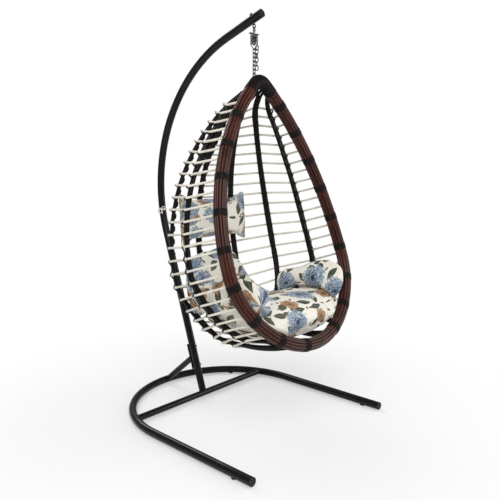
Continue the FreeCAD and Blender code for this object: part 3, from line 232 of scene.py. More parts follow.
def new_group(name, inputs, outputs):
    """A shader group with numbers in, or a vector where no number is given, and numbers out."""
    tree = bpy.data.node_groups.new(name, "ShaderNodeTree")
    for label, value in inputs.items():
        kind = "NodeSocketVector" if value is None else "NodeSocketFloat"
        socket = tree.interface.new_socket(label, in_out="INPUT", socket_type=kind)
        if value is not None:
            socket.default_value = value
    for label in outputs:
        tree.interface.new_socket(label, in_out="OUTPUT", socket_type="NodeSocketFloat")
    return tree, tree.nodes.new("NodeGroupInput").outputs, tree.nodes.new("NodeGroupOutput").inputs


def use(tree, group, inputs):
    return add(tree, "ShaderNodeGroup", inputs, node_tree=group).outputs


def make_speckle():
    """Fine unevenness of a surface: a height for bump and a slow patchy value for colour and gloss."""
    tree, given, result = new_group("surface_speckle", {"Grain": 900, "Patch": 14}, ["Height", "Patches"])
    place = object_place(tree)
    give(tree, result["Height"], noise(tree, place, given["Grain"], 3))
    give(tree, result["Patches"], noise(tree, place, given["Patch"], 5))
    return tree


def make_scuffs():
    """Thin rubbed marks in patches, 0 where the finish is whole."""
    tree, given, result = new_group("rubbed_marks", {"Scale": 60, "Reach": 0.62}, ["Mask"])
    place = object_place(tree)
    drawn_out = {"Vector": place, "Rotation": (0.4, 0.7, 0.2), "Scale": (1, 0.18, 1)}
    bent = add(tree, "ShaderNodeMapping", drawn_out).outputs["Vector"]
    marks = noise(tree, bent, given["Scale"], 6)
    patches = noise(tree, place, 7, 2)
    height = calc(tree, "MULTIPLY_ADD", patches, 0.35, marks)
    top = calc(tree, "ADD", given["Reach"], 0.22)
    low = calc(tree, "ADD", given["Reach"], 0.12)
    give(tree, result["Mask"], rescale(tree, height, low, top, 0, 1, True))
    return tree


def make_strand_lay():
    """Twisted strands of a cord, from its UV map: round the cord in U, metres along it in V."""
    tree, given, result = new_group("strand_lay", {"Pitch": 0.012, "Strands": 3}, ["Height", "Shade"])
    uv = split(tree, uv_place(tree))
    turns = calc(tree, "DIVIDE", uv["Y"], given["Pitch"])
    phase = calc(tree, "MULTIPLY_ADD", uv["X"], given["Strands"], turns)
    wave = calc(tree, "ABSOLUTE", calc(tree, "SINE", times(tree, phase, math.pi)))
    height = calc(tree, "POWER", wave, 0.6)
    give(tree, result["Height"], height)
    # Shade is painted shade: low in the grooves between strands, high on the strand crowns
    give(tree, result["Shade"], rescale(tree, height, 0.2, 0.9, 0, 1))
    return tree


def make_weave():
    """Plain weave of a printed cloth on its UV map in metres."""
    tree, given, result = new_group("plain_weave", {"Thread": 0.0009}, ["Height"])
    uv = split(tree, uv_place(tree))
    turn = calc(tree, "DIVIDE", math.pi, given["Thread"])
    across = calc(tree, "SINE", times(tree, uv["X"], turn))
    along = calc(tree, "SINE", times(tree, uv["Y"], turn))
    give(tree, result["Height"], calc(tree, "MULTIPLY_ADD", times(tree, across, along), 0.5, 0.5))
    return tree


def make_petal_ring():
    """One ring of petals: a mask of its outline and a tone from its dark middle to its pale tips."""
    inputs = {"Distance": 0, "Angle": 0, "Radius": 0.03, "Petals": 7, "Turn": 0}
    tree, given, result = new_group("petal_ring", inputs, ["Mask", "Tone"])
    half_count = times(tree, given["Petals"], 0.5)
    turned = calc(tree, "MULTIPLY_ADD", given["Angle"], half_count, given["Turn"])
    lobes = calc(tree, "POWER", calc(tree, "ABSOLUTE", calc(tree, "SINE", turned)), 0.5)
    outline = times(tree, given["Radius"], rescale(tree, lobes, 0, 1, 0.78, 1))
    share = calc(tree, "DIVIDE", given["Distance"], outline)
    give(tree, result["Mask"], rescale(tree, share, 0.95, 1.0, 1, 0, True))
    tips = calc(tree, "POWER", share, 1.5)
    creases = rescale(tree, lobes, 0.15, 0.6, 0.45, 1)
    rim = rescale(tree, share, 0.92, 0.99, 1, 0.7)
    give(tree, result["Tone"], times(tree, times(tree, tips, creases), rim))
    return tree


def scattered(tree, vector, cell, loose):
    """Places about the middles of loose square cells, as shares of a cell, and the cells' own draws."""
    scaled = vector_calc(tree, "SCALE", vector, calc(tree, "DIVIDE", 1, cell))
    inputs = {"Vector": scaled, "Scale": 1, "Randomness": loose}
    cells = add(tree, "ShaderNodeTexVoronoi", inputs, voronoi_dimensions="2D").outputs
    local = vector_calc(tree, "SUBTRACT", scaled, cells["Position"])
    return local, add(tree, "ShaderNodeSeparateColor", {"Color": cells["Color"]}).outputs


def make_blossom(petal_ring):
    """Scattered full blossoms, one in a cell, each of four rings of petals."""
    inputs = {"Vector": None, "Cell": 0.14, "Radius": 0.045, "Petals": 7, "Share": 0.7}
    tree, given, result = new_group("blossom", inputs, ["Mask", "Tone"])
    local, draw = scattered(tree, given["Vector"], given["Cell"], 0.62)
    part = split(tree, local)
    plain_angle = calc(tree, "ARCTAN2", part["Y"], part["X"])
    ruffled = rescale(tree, noise(tree, given["Vector"], 42, 2, "2D"), 0.3, 0.7, -0.55, 0.55)
    angle = calc(tree, "MULTIPLY_ADD", draw["Red"], 2 * math.pi, calc(tree, "ADD", plain_angle, ruffled))
    ragged = rescale(tree, noise(tree, given["Vector"], 75, 3, "2D"), 0.3, 0.7, 0.82, 1.18)
    flat = times(tree, vector_calc(tree, "LENGTH", local), given["Cell"])
    distance = times(tree, flat, ragged)
    own_radius = times(tree, given["Radius"], rescale(tree, draw["Green"], 0, 1, 0.78, 1.08))
    streaked = add(tree, "ShaderNodeCombineXYZ", {"X": times(tree, angle, 2.4)})
    give(tree, streaked.inputs["Y"], times(tree, distance, 34))
    streaks = rescale(tree, noise(tree, streaked.outputs[0], 2.2, 3, "2D"), 0.3, 0.7, 0.5, 1.5)
    tone = 0
    mask = None
    for share, turn, fewer in ((1, 0, 0), (0.76, 1.1, 1), (0.53, 0.5, 2), (0.3, 1.7, 3)):
        ring = use(tree, petal_ring, {
            "Distance": distance, "Angle": angle, "Radius": times(tree, own_radius, share),
            "Petals": calc(tree, "SUBTRACT", given["Petals"], fewer), "Turn": turn,
        })
        tone = ring["Tone"] if mask is None else mix_value(tree, ring["Mask"], tone, ring["Tone"])
        mask = ring["Mask"] if mask is None else mask
    shown = calc(tree, "LESS_THAN", draw["Blue"], given["Share"])
    give(tree, result["Mask"], times(tree, mask, shown))
    give(tree, result["Tone"], times(tree, tone, streaks))
    return tree


def make_leaf_spray():
    """Scattered pointed leaves, one in a cell, with a pale midrib."""
    inputs = {"Vector": None, "Cell": 0.05, "Length": 0.026, "Width": 0.011, "Share": 0.6}
    tree, given, result = new_group("leaf_spray", inputs, ["Mask", "Tone"])
    local, draw = scattered(tree, given["Vector"], given["Cell"], 0.8)
    turned = add(tree, "ShaderNodeVectorRotate", {"Vector": local}, rotation_type="Z_AXIS")
    give(tree, turned.inputs["Angle"], times(tree, draw["Red"], 2 * math.pi))
    part = split(tree, turned.outputs["Vector"])
    along = calc(tree, "DIVIDE", times(tree, part["X"], given["Cell"]), given["Length"])
    aside = calc(tree, "DIVIDE", times(tree, part["Y"], given["Cell"]), given["Width"])
    taper = calc(tree, "SUBTRACT", 1, calc(tree, "POWER", calc(tree, "ABSOLUTE", along), 1.7))
    edge = calc(tree, "SUBTRACT", taper, calc(tree, "ABSOLUTE", aside))
    shown = calc(tree, "LESS_THAN", draw["Green"], given["Share"])
    inside = times(tree, rescale(tree, edge, 0, 0.08, 0, 1, True), shown)
    give(tree, result["Mask"], inside)
    midrib = rescale(tree, calc(tree, "ABSOLUTE", aside), 0.03, 0.12, 1, 0)
    veins = rescale(tree, noise(tree, given["Vector"], 260, 2, "2D"), 0.3, 0.7, 0.1, 0.6)
    give(tree, result["Tone"], calc(tree, "MAXIMUM", midrib, veins))
    return tree


def new_material(name):
    material = bpy.data.materials.new(name)
    material.use_nodes = True
    tree = material.node_tree
    return material, tree, tree.nodes["Principled BSDF"].inputs


def bump(tree, height, strength, distance, under=None):
    item = add(tree, "ShaderNodeBump", {"Height": height, "Strength": strength, "Distance": distance})
    if under:
        give(tree, item.inputs["Normal"], under)
    return item.outputs["Normal"]


def painted_finish(name, colour, rubbed, gloss, coat, grain, marks_scale, marks_reach):
    """A coated metal or moulded piece: patchy gloss, fine grain and rubbed marks."""
    material, tree, shader = new_material(name)
    speckle = use(tree, speckle_group, {"Grain": grain, "Patch": 11})
    marks = use(tree, scuffs_group, {"Scale": marks_scale, "Reach": marks_reach})["Mask"]
    dusty = rescale(tree, speckle["Patches"], 0.35, 0.75, 0, 0.5)
    tinted = mix_colour(tree, dusty, (*colour, 1), (*[part * 1.6 + 0.0015 for part in colour], 1))
    give(tree, shader["Base Color"], mix_colour(tree, marks, tinted, (*rubbed, 1)))
    worn = mix_value(tree, marks, gloss, min(gloss + 0.25, 0.9))
    give(tree, shader["Roughness"], calc(tree, "MULTIPLY_ADD", dusty, 0.16, worn))
    shader["Specular IOR Level"].default_value = 0.12
    shader["Coat Weight"].default_value = coat
    shader["Coat Roughness"].default_value = 0.1
    give(tree, shader["Normal"], bump(tree, speckle["Height"], 0.12, 0.0006))
    return material


def steel_finish(name, colour, bright):
    """Blackened steel, bare along rubbed marks."""
    material, tree, shader = new_material(name)
    speckle = use(tree, speckle_group, {"Grain": 700, "Patch": 120})
    marks = use(tree, scuffs_group, {"Scale": 240, "Reach": 0.56})["Mask"]
    patches = rescale(tree, speckle["Patches"], 0.4, 0.7, 0, 1)
    patched = mix_colour(tree, patches, (*colour, 1), (0.045, 0.036, 0.03, 1))
    give(tree, shader["Base Color"], mix_colour(tree, marks, patched, (*bright, 1)))
    shader["Metallic"].default_value = 0.75
    dull = rescale(tree, speckle["Patches"], 0.3, 0.7, 0.34, 0.55)
    give(tree, shader["Roughness"], mix_value(tree, marks, dull, 0.3))
    give(tree, shader["Normal"], bump(tree, speckle["Height"], 0.15, 0.0004))
    return material


def cane_finish():
    """Lacquered dark reddish cane, streaked along its length."""
    material, tree, shader = new_material("lacquered_cane")
    uv = uv_place(tree)
    drawn = add(tree, "ShaderNodeMapping", {"Vector": uv, "Scale": (5, 2.2, 1)}).outputs["Vector"]
    streaks = noise(tree, drawn, 9, 6)
    slow = use(tree, speckle_group, {"Grain": 500, "Patch": 9})
    depth = calc(tree, "MULTIPLY_ADD", slow["Patches"], 0.5, times(tree, streaks, 0.6))
    colour = ramp(tree, depth, [
        (0.3, (0.010, 0.0025, 0.0016)), (0.48, (0.033, 0.0075, 0.0042)),
        (0.62, (0.062, 0.015, 0.008)), (0.8, (0.11, 0.031, 0.017)),
    ])
    give(tree, shader["Base Color"], colour)
    give(tree, shader["Roughness"], rescale(tree, streaks, 0.3, 0.7, 0.24, 0.38))
    shader["Specular IOR Level"].default_value = 0.2
    shader["Coat Weight"].default_value = 0.2
    shader["Coat Roughness"].default_value = 0.18
    give(tree, shader["Normal"], bump(tree, streaks, 0.25, 0.0008))
    return material


def strip_finish(name, colour, gloss):
    """Black plastic strip with faint lines along it."""
    material, tree, shader = new_material(name)
    speckle = use(tree, speckle_group, {"Grain": 420, "Patch": 40})
    marks = use(tree, scuffs_group, {"Scale": 120, "Reach": 0.6})["Mask"]
    shader["Specular IOR Level"].default_value = 0.12
    lighter = tuple(part * 1.8 + 0.001 for part in colour)
    patches = rescale(tree, speckle["Patches"], 0.35, 0.7, 0, 1)
    patched = mix_colour(tree, patches, (*colour, 1), (*lighter, 1))
    give(tree, shader["Base Color"], mix_colour(tree, marks, patched, (0.014, 0.011, 0.01, 1)))
    give(tree, shader["Roughness"], rescale(tree, speckle["Patches"], 0.3, 0.7, gloss, gloss + 0.18))
    give(tree, shader["Normal"], bump(tree, speckle["Height"], 0.2, 0.0006))
    return material


def cord_finish(name, pale, dark, gloss, pitch, strands):
    """Twisted cord: strands as bump, painted shade darkening the groove between them, and slow soiling along it.
    """
    material, tree, shader = new_material(name)
    lay = use(tree, strand_group, {"Pitch": pitch, "Strands": strands})
    speckle = use(tree, speckle_group, {"Grain": 1300, "Patch": 22})
    soiled = mix_colour(tree, rescale(tree, speckle["Patches"], 0.4, 0.75, 0, 0.6), (*pale, 1), (*dark, 1))
    # Painted shade: the grooves between strands are darkened towards the dark colour
    groove_shade = mix_colour(tree, lay["Shade"], (*dark, 1), soiled)
    give(tree, shader["Base Color"], mix_colour(tree, 0.5, soiled, groove_shade))
    give(tree, shader["Roughness"], rescale(tree, speckle["Height"], 0.3, 0.7, gloss, gloss + 0.15))
    height = calc(tree, "MULTIPLY_ADD", speckle["Height"], 0.25, lay["Height"])
    give(tree, shader["Normal"], bump(tree, height, 0.5, 0.0012))
    return material


PRINT_CREAM = (0.82, 0.785, 0.70, 1)
PEONY_TONES = [
    (0, (0.008, 0.013, 0.026)), (0.24, (0.02, 0.036, 0.07)), (0.48, (0.062, 0.108, 0.185)),
    (0.72, (0.19, 0.27, 0.36)), (1, (0.58, 0.64, 0.67)),
]
ROSE_TONES = [
    (0, (0.03, 0.010, 0.004)), (0.3, (0.10, 0.036, 0.012)),
    (0.6, (0.25, 0.112, 0.036)), (1, (0.55, 0.36, 0.18)),
]
LEAF_TONES = [(0, (0.010, 0.017, 0.008)), (0.5, (0.03, 0.045, 0.021)), (1, (0.13, 0.16, 0.08))]
SPRIG_TONES = [(0, (0.03, 0.025, 0.016)), (1, (0.14, 0.10, 0.06))]


def printed_cloth():
    """Cream cotton printed with scattered blue and ochre blossoms among dark leaves."""
    material, tree, shader = new_material("printed_cloth")
    uv = uv_place(tree)
    wander = noise(tree, uv, 5, 1, "2D")
    shaken = vector_calc(tree, "ADD", uv, vector_calc(tree, "SCALE", (0.012, 0.009, 0), wander))
    leaf_labels = ("Cell", "Length", "Width", "Share")
    blossom_labels = ("Cell", "Radius", "Petals", "Share")
    layers = [
        (leaf_group, leaf_labels, (0.046, 0.015, 0.0055, 0.42), (0.31, 0.77, 0), SPRIG_TONES),
        (leaf_group, leaf_labels, (0.076, 0.041, 0.019, 0.84), (0.13, 0.41, 0), LEAF_TONES),
        (blossom_group, blossom_labels, (0.150, 0.046, 6, 0.74), (0.57, 0.19, 0), ROSE_TONES),
        (blossom_group, blossom_labels, (0.185, 0.070, 8, 0.84), (0.07, 0.93, 0), PEONY_TONES),
    ]
    colour = PRINT_CREAM
    for group, labels, sizes, shift, tones in layers:
        moved = vector_calc(tree, "ADD", shaken, shift)
        layer = use(tree, group, {"Vector": moved, **dict(zip(labels, sizes))})
        colour = mix_colour(tree, layer["Mask"], colour, ramp(tree, layer["Tone"], tones))
    weave = use(tree, weave_group, {"Thread": 0.0009})["Height"]
    soil = use(tree, speckle_group, {"Grain": 1500, "Patch": 8})
    worn = mix_colour(tree, rescale(tree, soil["Patches"], 0.45, 0.8, 0, 0.22), colour, (0.55, 0.48, 0.38, 1))
    give(tree, shader["Base Color"], worn)
    give(tree, shader["Roughness"], rescale(tree, soil["Height"], 0.3, 0.7, 0.78, 0.92))
    shader["Sheen Weight"].default_value = 0.12
    place = object_place(tree)
    creases = noise(tree, place, 17, 2)
    creased = bump(tree, creases, 0.35, 0.012)
    give(tree, shader["Normal"], bump(tree, weave, 0.25, 0.0004, creased))
    return material


speckle_group = make_speckle()
scuffs_group = make_scuffs()
strand_group = make_strand_lay()
weave_group = make_weave()
leaf_group = make_leaf_spray()
blossom_group = make_blossom(make_petal_ring())

# Coated pieces by slot: name, colour, rubbed colour, gloss, coat, grain, and the marks' scale and reach.
PAINTS = {
    "stand_paint": ("gloss_black_coat", (0.004, 0.004, 0.0045), (0.02, 0.02, 0.021), 0.3, 0.3, 650, 45, 0.7),
    "end_plug": ("moulded_black_plug", (0.016, 0.016, 0.016), (0.06, 0.06, 0.06), 0.5, 0, 900, 90, 0.62),
    "glide_rubber": ("black_rubber", (0.022, 0.022, 0.022), (0.10, 0.095, 0.09), 0.75, 0, 1200, 120, 0.58),
    "core_steel": ("dull_core", (0.02, 0.018, 0.016), (0.05, 0.04, 0.035), 0.6, 0, 800, 60, 0.62),
    "rib_paint": ("black_rib", (0.004, 0.0036, 0.0034), (0.02, 0.018, 0.016), 0.38, 0.05, 750, 70, 0.68),
}
FINISHES = {slot: painted_finish(*values) for slot, values in PAINTS.items()}
FINISHES.update({
    "fastener_steel": steel_finish("dark_fastener", (0.05, 0.05, 0.052), (0.3, 0.3, 0.3)),
    "hanger_steel": steel_finish("blackened_steel", (0.022, 0.022, 0.024), (0.22, 0.22, 0.22)),
    "cane": cane_finish(),
    "binding": strip_finish("black_strip", (0.005, 0.004, 0.0035), 0.42),
    "cord": cord_finish("cream_cord", (0.83, 0.79, 0.70), (0.55, 0.49, 0.40), 0.55, 0.011, 3),
    "cushion_print": printed_cloth(),
})
LACING_FINISH = cord_finish("black_lacing", (0.016, 0.014, 0.013), (0.006, 0.005, 0.005), 0.4, 0.009, 2)


def dress_frame():
    """Every carried-over node gets the finish of its material slot."""
    for part in frame["record"]["subparts"]:
        mesh = nodes[part["node"]].data
        mesh.materials.clear()
        mesh.materials.append(FINISHES[part["material_slot"]])


def new_piece(name, mesh, material, body="basket"):
    piece = placed(name, mesh)
    mesh.materials.clear()
    mesh.materials.append(material)
    mesh.polygons.foreach_set("use_smooth", np.ones(len(mesh.polygons), dtype=bool))
    if body:
        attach(piece, body)
    return piece


def placed(name, mesh):
    """A new object in the scene, at the origin."""
    item = bpy.data.objects.new(name, mesh)
    scene.collection.objects.link(item)
    return item


def unit(rows):
    return rows / np.linalg.norm(rows, axis=-1, keepdims=True)


def spline_points(controls, closed=False, resolution=8):
    """Points along the smooth curve that the control points pull."""
    curve = bpy.data.curves.new("route", "CURVE")
    curve.dimensions = "3D"
    spline = curve.splines.new("NURBS")
    spline.points.add(len(controls) - 1)
    for point, place in zip(spline.points, controls):
        point.co = (*place, 1)
    spline.use_cyclic_u = closed
    spline.use_endpoint_u = not closed
    spline.order_u = 3
    spline.resolution_u = resolution
    holder = bpy.data.objects.new("route", curve)
    mesh = bpy.data.meshes.new_from_object(holder)
    points = np.array([vertex.co for vertex in mesh.vertices])
    bpy.data.meshes.remove(mesh)
    bpy.data.objects.remove(holder)
    bpy.data.curves.remove(curve)
    return points


def ring_frames(points, closed):
    """Directions along a line, with two sideways directions that turn as little as possible."""
    if closed:
        ways = unit(np.roll(points, -1, axis=0) - np.roll(points, 1, axis=0))
    else:
        ways = unit(np.gradient(points, axis=0))
    side = np.cross(ways[0], (0.31, 0.53, 0.79))
    sides = []
    for way in ways:
        side = side - way * (side @ way)
        side = side / np.linalg.norm(side)
        sides.append(side)
    sides = np.array(sides)
    return sides, np.cross(ways, sides)


def tube_mesh(name, lines, radius, sides, closed=False, frames=None, swell=None):
    """Round tubes along lines of points, with U round them and V in metres along them."""
    vertices, faces, uvs = [], [], []
    angles = np.arange(sides) * 2 * math.pi / sides
    for number, points in enumerate(lines):
        count = len(points)
        first = sum(len(part) for part in vertices)
        across, upward = ring_frames(points, closed) if frames is None else frames[number]
        spread = radius if swell is None else radius * swell[number][:, None, None]
        circle = across[:, None] * np.cos(angles)[:, None] + upward[:, None] * np.sin(angles)[:, None]
        vertices.append((points[:, None] + circle * spread).reshape(-1, 3))
        steps = np.linalg.norm(np.diff(points, axis=0, append=points[:1]), axis=1)
        runs = np.concatenate([[0], np.cumsum(steps)])
        rings = count if closed else count - 1
        for ring in range(rings):
            low = first + ring * sides
            high = first + (ring + 1) % count * sides
            for side in range(sides):
                after = (side + 1) % sides
                faces.append((low + side, low + after, high + after, high + side))
                left, right = side / sides, (side + 1) / sides
                here, there = runs[ring], runs[ring + 1]
                uvs.extend([(left, here), (right, here), (right, there), (left, there)])
        if not closed:
            faces.append(tuple(first + side for side in reversed(range(sides))))
            faces.append(tuple(first + (count - 1) * sides + side for side in range(sides)))
            uvs.extend([(0, 0)] * sides + [(0, runs[count - 1])] * sides)
    mesh = bpy.data.meshes.new(name)
    mesh.from_pydata(np.concatenate(vertices).tolist(), [], faces)
    layer = mesh.uv_layers.new(name="UVMap")
    layer.data.foreach_set("uv", np.array(uvs, dtype=np.float32).ravel())
    mesh.validate()
    return mesh


def rim_arcs():
    """The rim's arcs as (radius, turn, half width, drop, run at the start), then the whole drop and run."""
    arcs = []
    half = drop = run = 0
    for index, start in enumerate(RIM_TURNS[:-1]):
        end = RIM_TURNS[index + 1]
        radius = RIM_RADII[index] if index < len(RIM_RADII) else half / math.sin(start)
        arcs.append((radius, start, half, drop, run))
        half += radius * (math.sin(end) - math.sin(start))
        drop += radius * (math.cos(start) - math.cos(end))
        run += radius * (end - start)
    return arcs, drop, run


RIM_ARCS, RIM_DROP, RIM_RUN = rim_arcs()


def rim_frame(run):
    """Place at a run from the rim's apex, and the ways along, back and in there; negative runs are left."""
    radius, start, half, drop, arc_run = next(arc for arc in reversed(RIM_ARCS) if abs(run) >= arc[4])
    turn = start + (abs(run) - arc_run) / radius
    half += radius * (math.sin(turn) - math.sin(start))
    drop += radius * (math.cos(start) - math.cos(turn))
    share = drop / RIM_DROP
    bowed = 4 * RIM_BOW * share * (1 - share) - math.sin(RIM_TILT) * drop
    place = RIM_APEX + Vector((half, bowed, -math.cos(RIM_TILT) * drop))
    slope = 4 * RIM_BOW * (1 - 2 * share) / RIM_DROP - math.sin(RIM_TILT)
    down = Vector((0, slope, -math.cos(RIM_TILT))).normalized()
    way = (Vector((math.cos(turn), 0, 0)) + down * math.sin(turn)).normalized()
    back = Vector((1, 0, 0)).cross(down).normalized()
    inward = back.cross(way)
    if run < 0:
        mirror = Matrix.Diagonal((-1, 1, 1))
        return mirror @ place, -(mirror @ way), mirror @ back, mirror @ inward
    return place, way, back, inward


def rim_loop(step):
    """Evenly spaced places all round the rim, from the bottom up the left side and down the right."""
    count = int(2 * RIM_RUN / step)
    return [rim_frame(-RIM_RUN + 2 * RIM_RUN * (index + 0.5) / count) for index in range(count)]


def make_canes():
    """Closed loops of cane side by side round the rim's core, each a little uneven."""
    loop = rim_loop(CANE_STEP)
    places = np.array([place for place, way, back, inward in loop])
    backs = np.array([back for place, way, back, inward in loop])
    inwards = np.array([inward for place, way, back, inward in loop])
    along = np.linspace(0, 2 * math.pi, len(loop), endpoint=False)
    lines, frames, swells = [], [], []
    for index in range(CANE_COUNT):
        angle = (index + 0.5) * 2 * math.pi / CANE_COUNT
        phase = chance.uniform(0, 2 * math.pi, 4)
        drift = 0.006 * np.sin(5 * along + phase[0]) + 0.006 * np.sin(13 * along + phase[1])
        turned = angle + drift
        outward = backs * np.cos(turned)[:, None] + inwards * np.sin(turned)[:, None]
        aside = -backs * np.sin(turned)[:, None] + inwards * np.cos(turned)[:, None]
        lines.append(places + outward * CANE_RING)
        frames.append((outward, aside))
        swells.append(1 + 0.02 * np.sin(17 * along + phase[2]) + 0.02 * np.sin(41 * along + phase[3]))
    mesh = tube_mesh("rim_canes", lines, CANE_RADIUS, 10, True, frames, swells)
    canes = new_piece("rim_canes", mesh, FINISHES["cane"])
    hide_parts("rim_canes_left", "rim_canes_right")


def wound_turns_tree():
    """Rings of flat strip, one on each point, turned by the point's own rotation."""
    tree = bpy.data.node_groups.new("wound_turns", "GeometryNodeTree")
    tree.interface.new_socket("Geometry", in_out="INPUT", socket_type="NodeSocketGeometry")
    for label, kind in (
        ("Ring Radius", "Float"), ("Strip Width", "Float"), ("Strip Thickness", "Float"),
        ("Sides", "Int"), ("Lean", "Float"), ("Seed", "Int"), ("Finish", "Material"),
    ):
        tree.interface.new_socket(label, in_out="INPUT", socket_type=f"NodeSocket{kind}")
    tree.interface.new_socket("Geometry", in_out="OUTPUT", socket_type="NodeSocketGeometry")
    given = tree.nodes.new("NodeGroupInput").outputs
    result = tree.nodes.new("NodeGroupOutput").inputs
    round_inputs = {"Resolution": given["Sides"], "Radius": given["Ring Radius"]}
    ring = add(tree, "GeometryNodeCurvePrimitiveCircle", round_inputs)
    strip = add(tree, "GeometryNodeCurvePrimitiveQuadrilateral",
                {"Width": given["Strip Thickness"], "Height": given["Strip Width"]})
    eased = add(tree, "GeometryNodeFilletCurve", {
        "Curve": strip.outputs[0], "Radius": times(tree, given["Strip Thickness"], 0.45),
    }, mode="POLY")
    eased.inputs["Count"].default_value = 2
    turn = add(tree, "GeometryNodeCurveToMesh", {"Curve": ring.outputs[0], "Profile Curve": eased.outputs[0]})
    stored = add(tree, "GeometryNodeInputNamedAttribute", {"Name": "turn"}, data_type="QUATERNION")
    lean = add(tree, "FunctionNodeRandomValue", data_type="FLOAT_VECTOR")
    give(tree, lean.inputs["Seed"], given["Seed"])
    tilt = vector_calc(tree, "SCALE", lean.outputs[0], given["Lean"])
    tipped = add(tree, "FunctionNodeEulerToRotation", {"Euler": tilt})
    rotation = add(tree, "FunctionNodeRotateRotation", rotation_space="LOCAL")
    give(tree, rotation.inputs[0], stored.outputs[0])
    give(tree, rotation.inputs[1], tipped.outputs[0])
    rings = add(tree, "GeometryNodeInstanceOnPoints", {
        "Points": given["Geometry"], "Instance": turn.outputs[0], "Rotation": rotation.outputs[0],
    })
    real = add(tree, "GeometryNodeRealizeInstances", {"Geometry": rings.outputs[0]})
    painted = add(tree, "GeometryNodeSetMaterial", {"Geometry": real.outputs[0], "Material": given["Finish"]})
    give(tree, result["Geometry"], painted.outputs[0])
    return tree


def grown_mesh(places, turns, tree, values):
    """What a geometry tree grows on points with rotations, as a plain mesh."""
    seed_mesh = bpy.data.meshes.new("places")
    seed_mesh.from_pydata([tuple(place) for place in places], [], [])
    stored = seed_mesh.attributes.new("turn", "QUATERNION", "POINT")
    stored.data.foreach_set("value", np.array([tuple(turn) for turn in turns], dtype=np.float32).ravel())
    holder = placed("places", seed_mesh)
    modifier = holder.modifiers.new("grow", "NODES")
    modifier.node_group = tree
    sockets = {item.name: item.identifier for item in tree.interface.items_tree if item.in_out == "INPUT"}
    for label, value in values.items():
        modifier[sockets[label]] = value
    mesh = bpy.data.meshes.new_from_object(holder.evaluated_get(bpy.context.evaluated_depsgraph_get()))
    holder.modifiers.remove(modifier)
    bpy.data.objects.remove(holder)
    bpy.data.meshes.remove(seed_mesh)
    return mesh


def make_bindings():
    """Black strip wound round the rim's canes in short stretches, and closely over the apex."""
    tree = wound_turns_tree()
    groups = {"rim_bindings_left": [], "rim_bindings_right": [], "apex_binding": []}
    for side, name in ((-1, "rim_bindings_left"), (1, "rim_bindings_right")):
        for number in range(BINDING_COUNT):
            middle = BINDING_FIRST[side] + BINDING_PITCH * number
            for turn in range(BINDING_TURNS):
                groups[name].append(side * (middle + (turn - (BINDING_TURNS - 1) / 2) * BINDING_STRIP))
    turns_over_apex = int(2 * APEX_BINDING_HALF / BINDING_STRIP)
    for turn in range(turns_over_apex):
        groups["apex_binding"].append((turn - (turns_over_apex - 1) / 2) * BINDING_STRIP)
    for name, runs in groups.items():
        places, turns = [], []
        for run in runs:
            place, way, back, inward = rim_frame(run)
            places.append(place)
            turns.append(way.to_track_quat("Z", "Y"))
        mesh = grown_mesh(places, turns, tree, {
            "Ring Radius": BINDING_RING, "Strip Width": BINDING_STRIP * BINDING_COVER,
            "Strip Thickness": BINDING_THICKNESS, "Sides": 40, "Lean": 0.05, "Seed": 3,
            "Finish": FINISHES["binding"],
        })
        piece = new_piece(f"{name}_strip", mesh, FINISHES["binding"])
        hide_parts(name)


def islands(vertices):
    """Groups of vertices that edges join."""
    seen = set()
    groups = []
    for vertex in vertices:
        if vertex in seen:
            continue
        seen.add(vertex)
        waiting, group = [vertex], []
        while waiting:
            here = waiting.pop()
            group.append(here)
            for edge in here.link_edges:
                other = edge.other_vert(here)
                if other not in seen:
                    seen.add(other)
                    waiting.append(other)
        groups.append(group)
    return groups


def welded(node):
    """A node's mesh with its doubled vertices joined."""
    work = bmesh.new()
    work.from_mesh(nodes[node].data)
    bmesh.ops.remove_doubles(work, verts=work.verts, dist=1e-6)
    return work


def span_ends(node):
    """Both ends of every straight span in a panel of cords."""
    work = welded(node)
    spans = []
    for group in islands(work.verts):
        points = np.array([vertex.co for vertex in group])
        middle = points.mean(axis=0)
        axis = np.linalg.svd(points - middle, full_matrices=False)[2][0]
        along = (points - middle) @ axis
        spans.append((points[along < 0].mean(axis=0), points[along > 0].mean(axis=0)))
    work.free()
    return spans


PANELS = [
    "cords_front_left", "cords_side_left", "cords_rear_left", "cords_back",
    "cords_rear_right", "cords_side_right", "cords_front_right",
]


def nearest_span(spans, place):
    """The span with an end nearest a place: that distance, its near end and its far end."""
    found = []
    for low, high in spans:
        found.append((np.linalg.norm(low - place), low, high))
        found.append((np.linalg.norm(high - place), high, low))
    return min(found, key=lambda item: item[0])


def cord_rows():
    """Rows of cord from the left rim round the ribs to the right rim, as span ends, from the top down."""
    panels = [span_ends(node) for node in PANELS]
    rows = []
    for low, high in panels[0]:
        ends = [low, high]
        ends.sort(key=lambda end: nearest_span(panels[1], end)[0], reverse=True)
        row = list(ends)
        for spans in panels[1:]:
            distance, near, far = nearest_span(spans, row[-1])
            row.extend([near, far])
        rows.append(np.array(row))
    low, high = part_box("cords_back")
    hub = (low + high) / 2 - ROW_HUB_SHIFT

    def turn_down(row):
        back = row[6:8].mean(axis=0)
        return -math.atan2(back[2] - hub.z, back[1] - hub.y)

    return sorted(rows, key=turn_down)


def make_cords(rows):
    """Unbroken cords round the ribs, tucked in behind the rim's canes at both ends."""
    lines = []
    for row in rows:
        start = row[0] + unit(row[0] - row[1]) * CORD_TUCK
        end = row[-1] + unit(row[-1] - row[-2]) * CORD_TUCK
        controls = [start]
        for index in range(len(PANELS)):
            first, last = row[2 * index], row[2 * index + 1]
            bend = (last - first) * CORD_BEND
            controls.extend([first, first + bend, last - bend, last])
        controls.append(end)
        lines.append(spline_points(controls, resolution=3))
    mesh = tube_mesh("woven_cords", lines, CORD_RADIUS, 8)
    cords = new_piece("woven_cords", mesh, FINISHES["cord"])
    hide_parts(*PANELS)


RIBS = [f"rib_{name}_left" for name in ("side", "corner", "back")]
RIBS += [f"rib_{name}_right" for name in ("back", "corner", "side")]


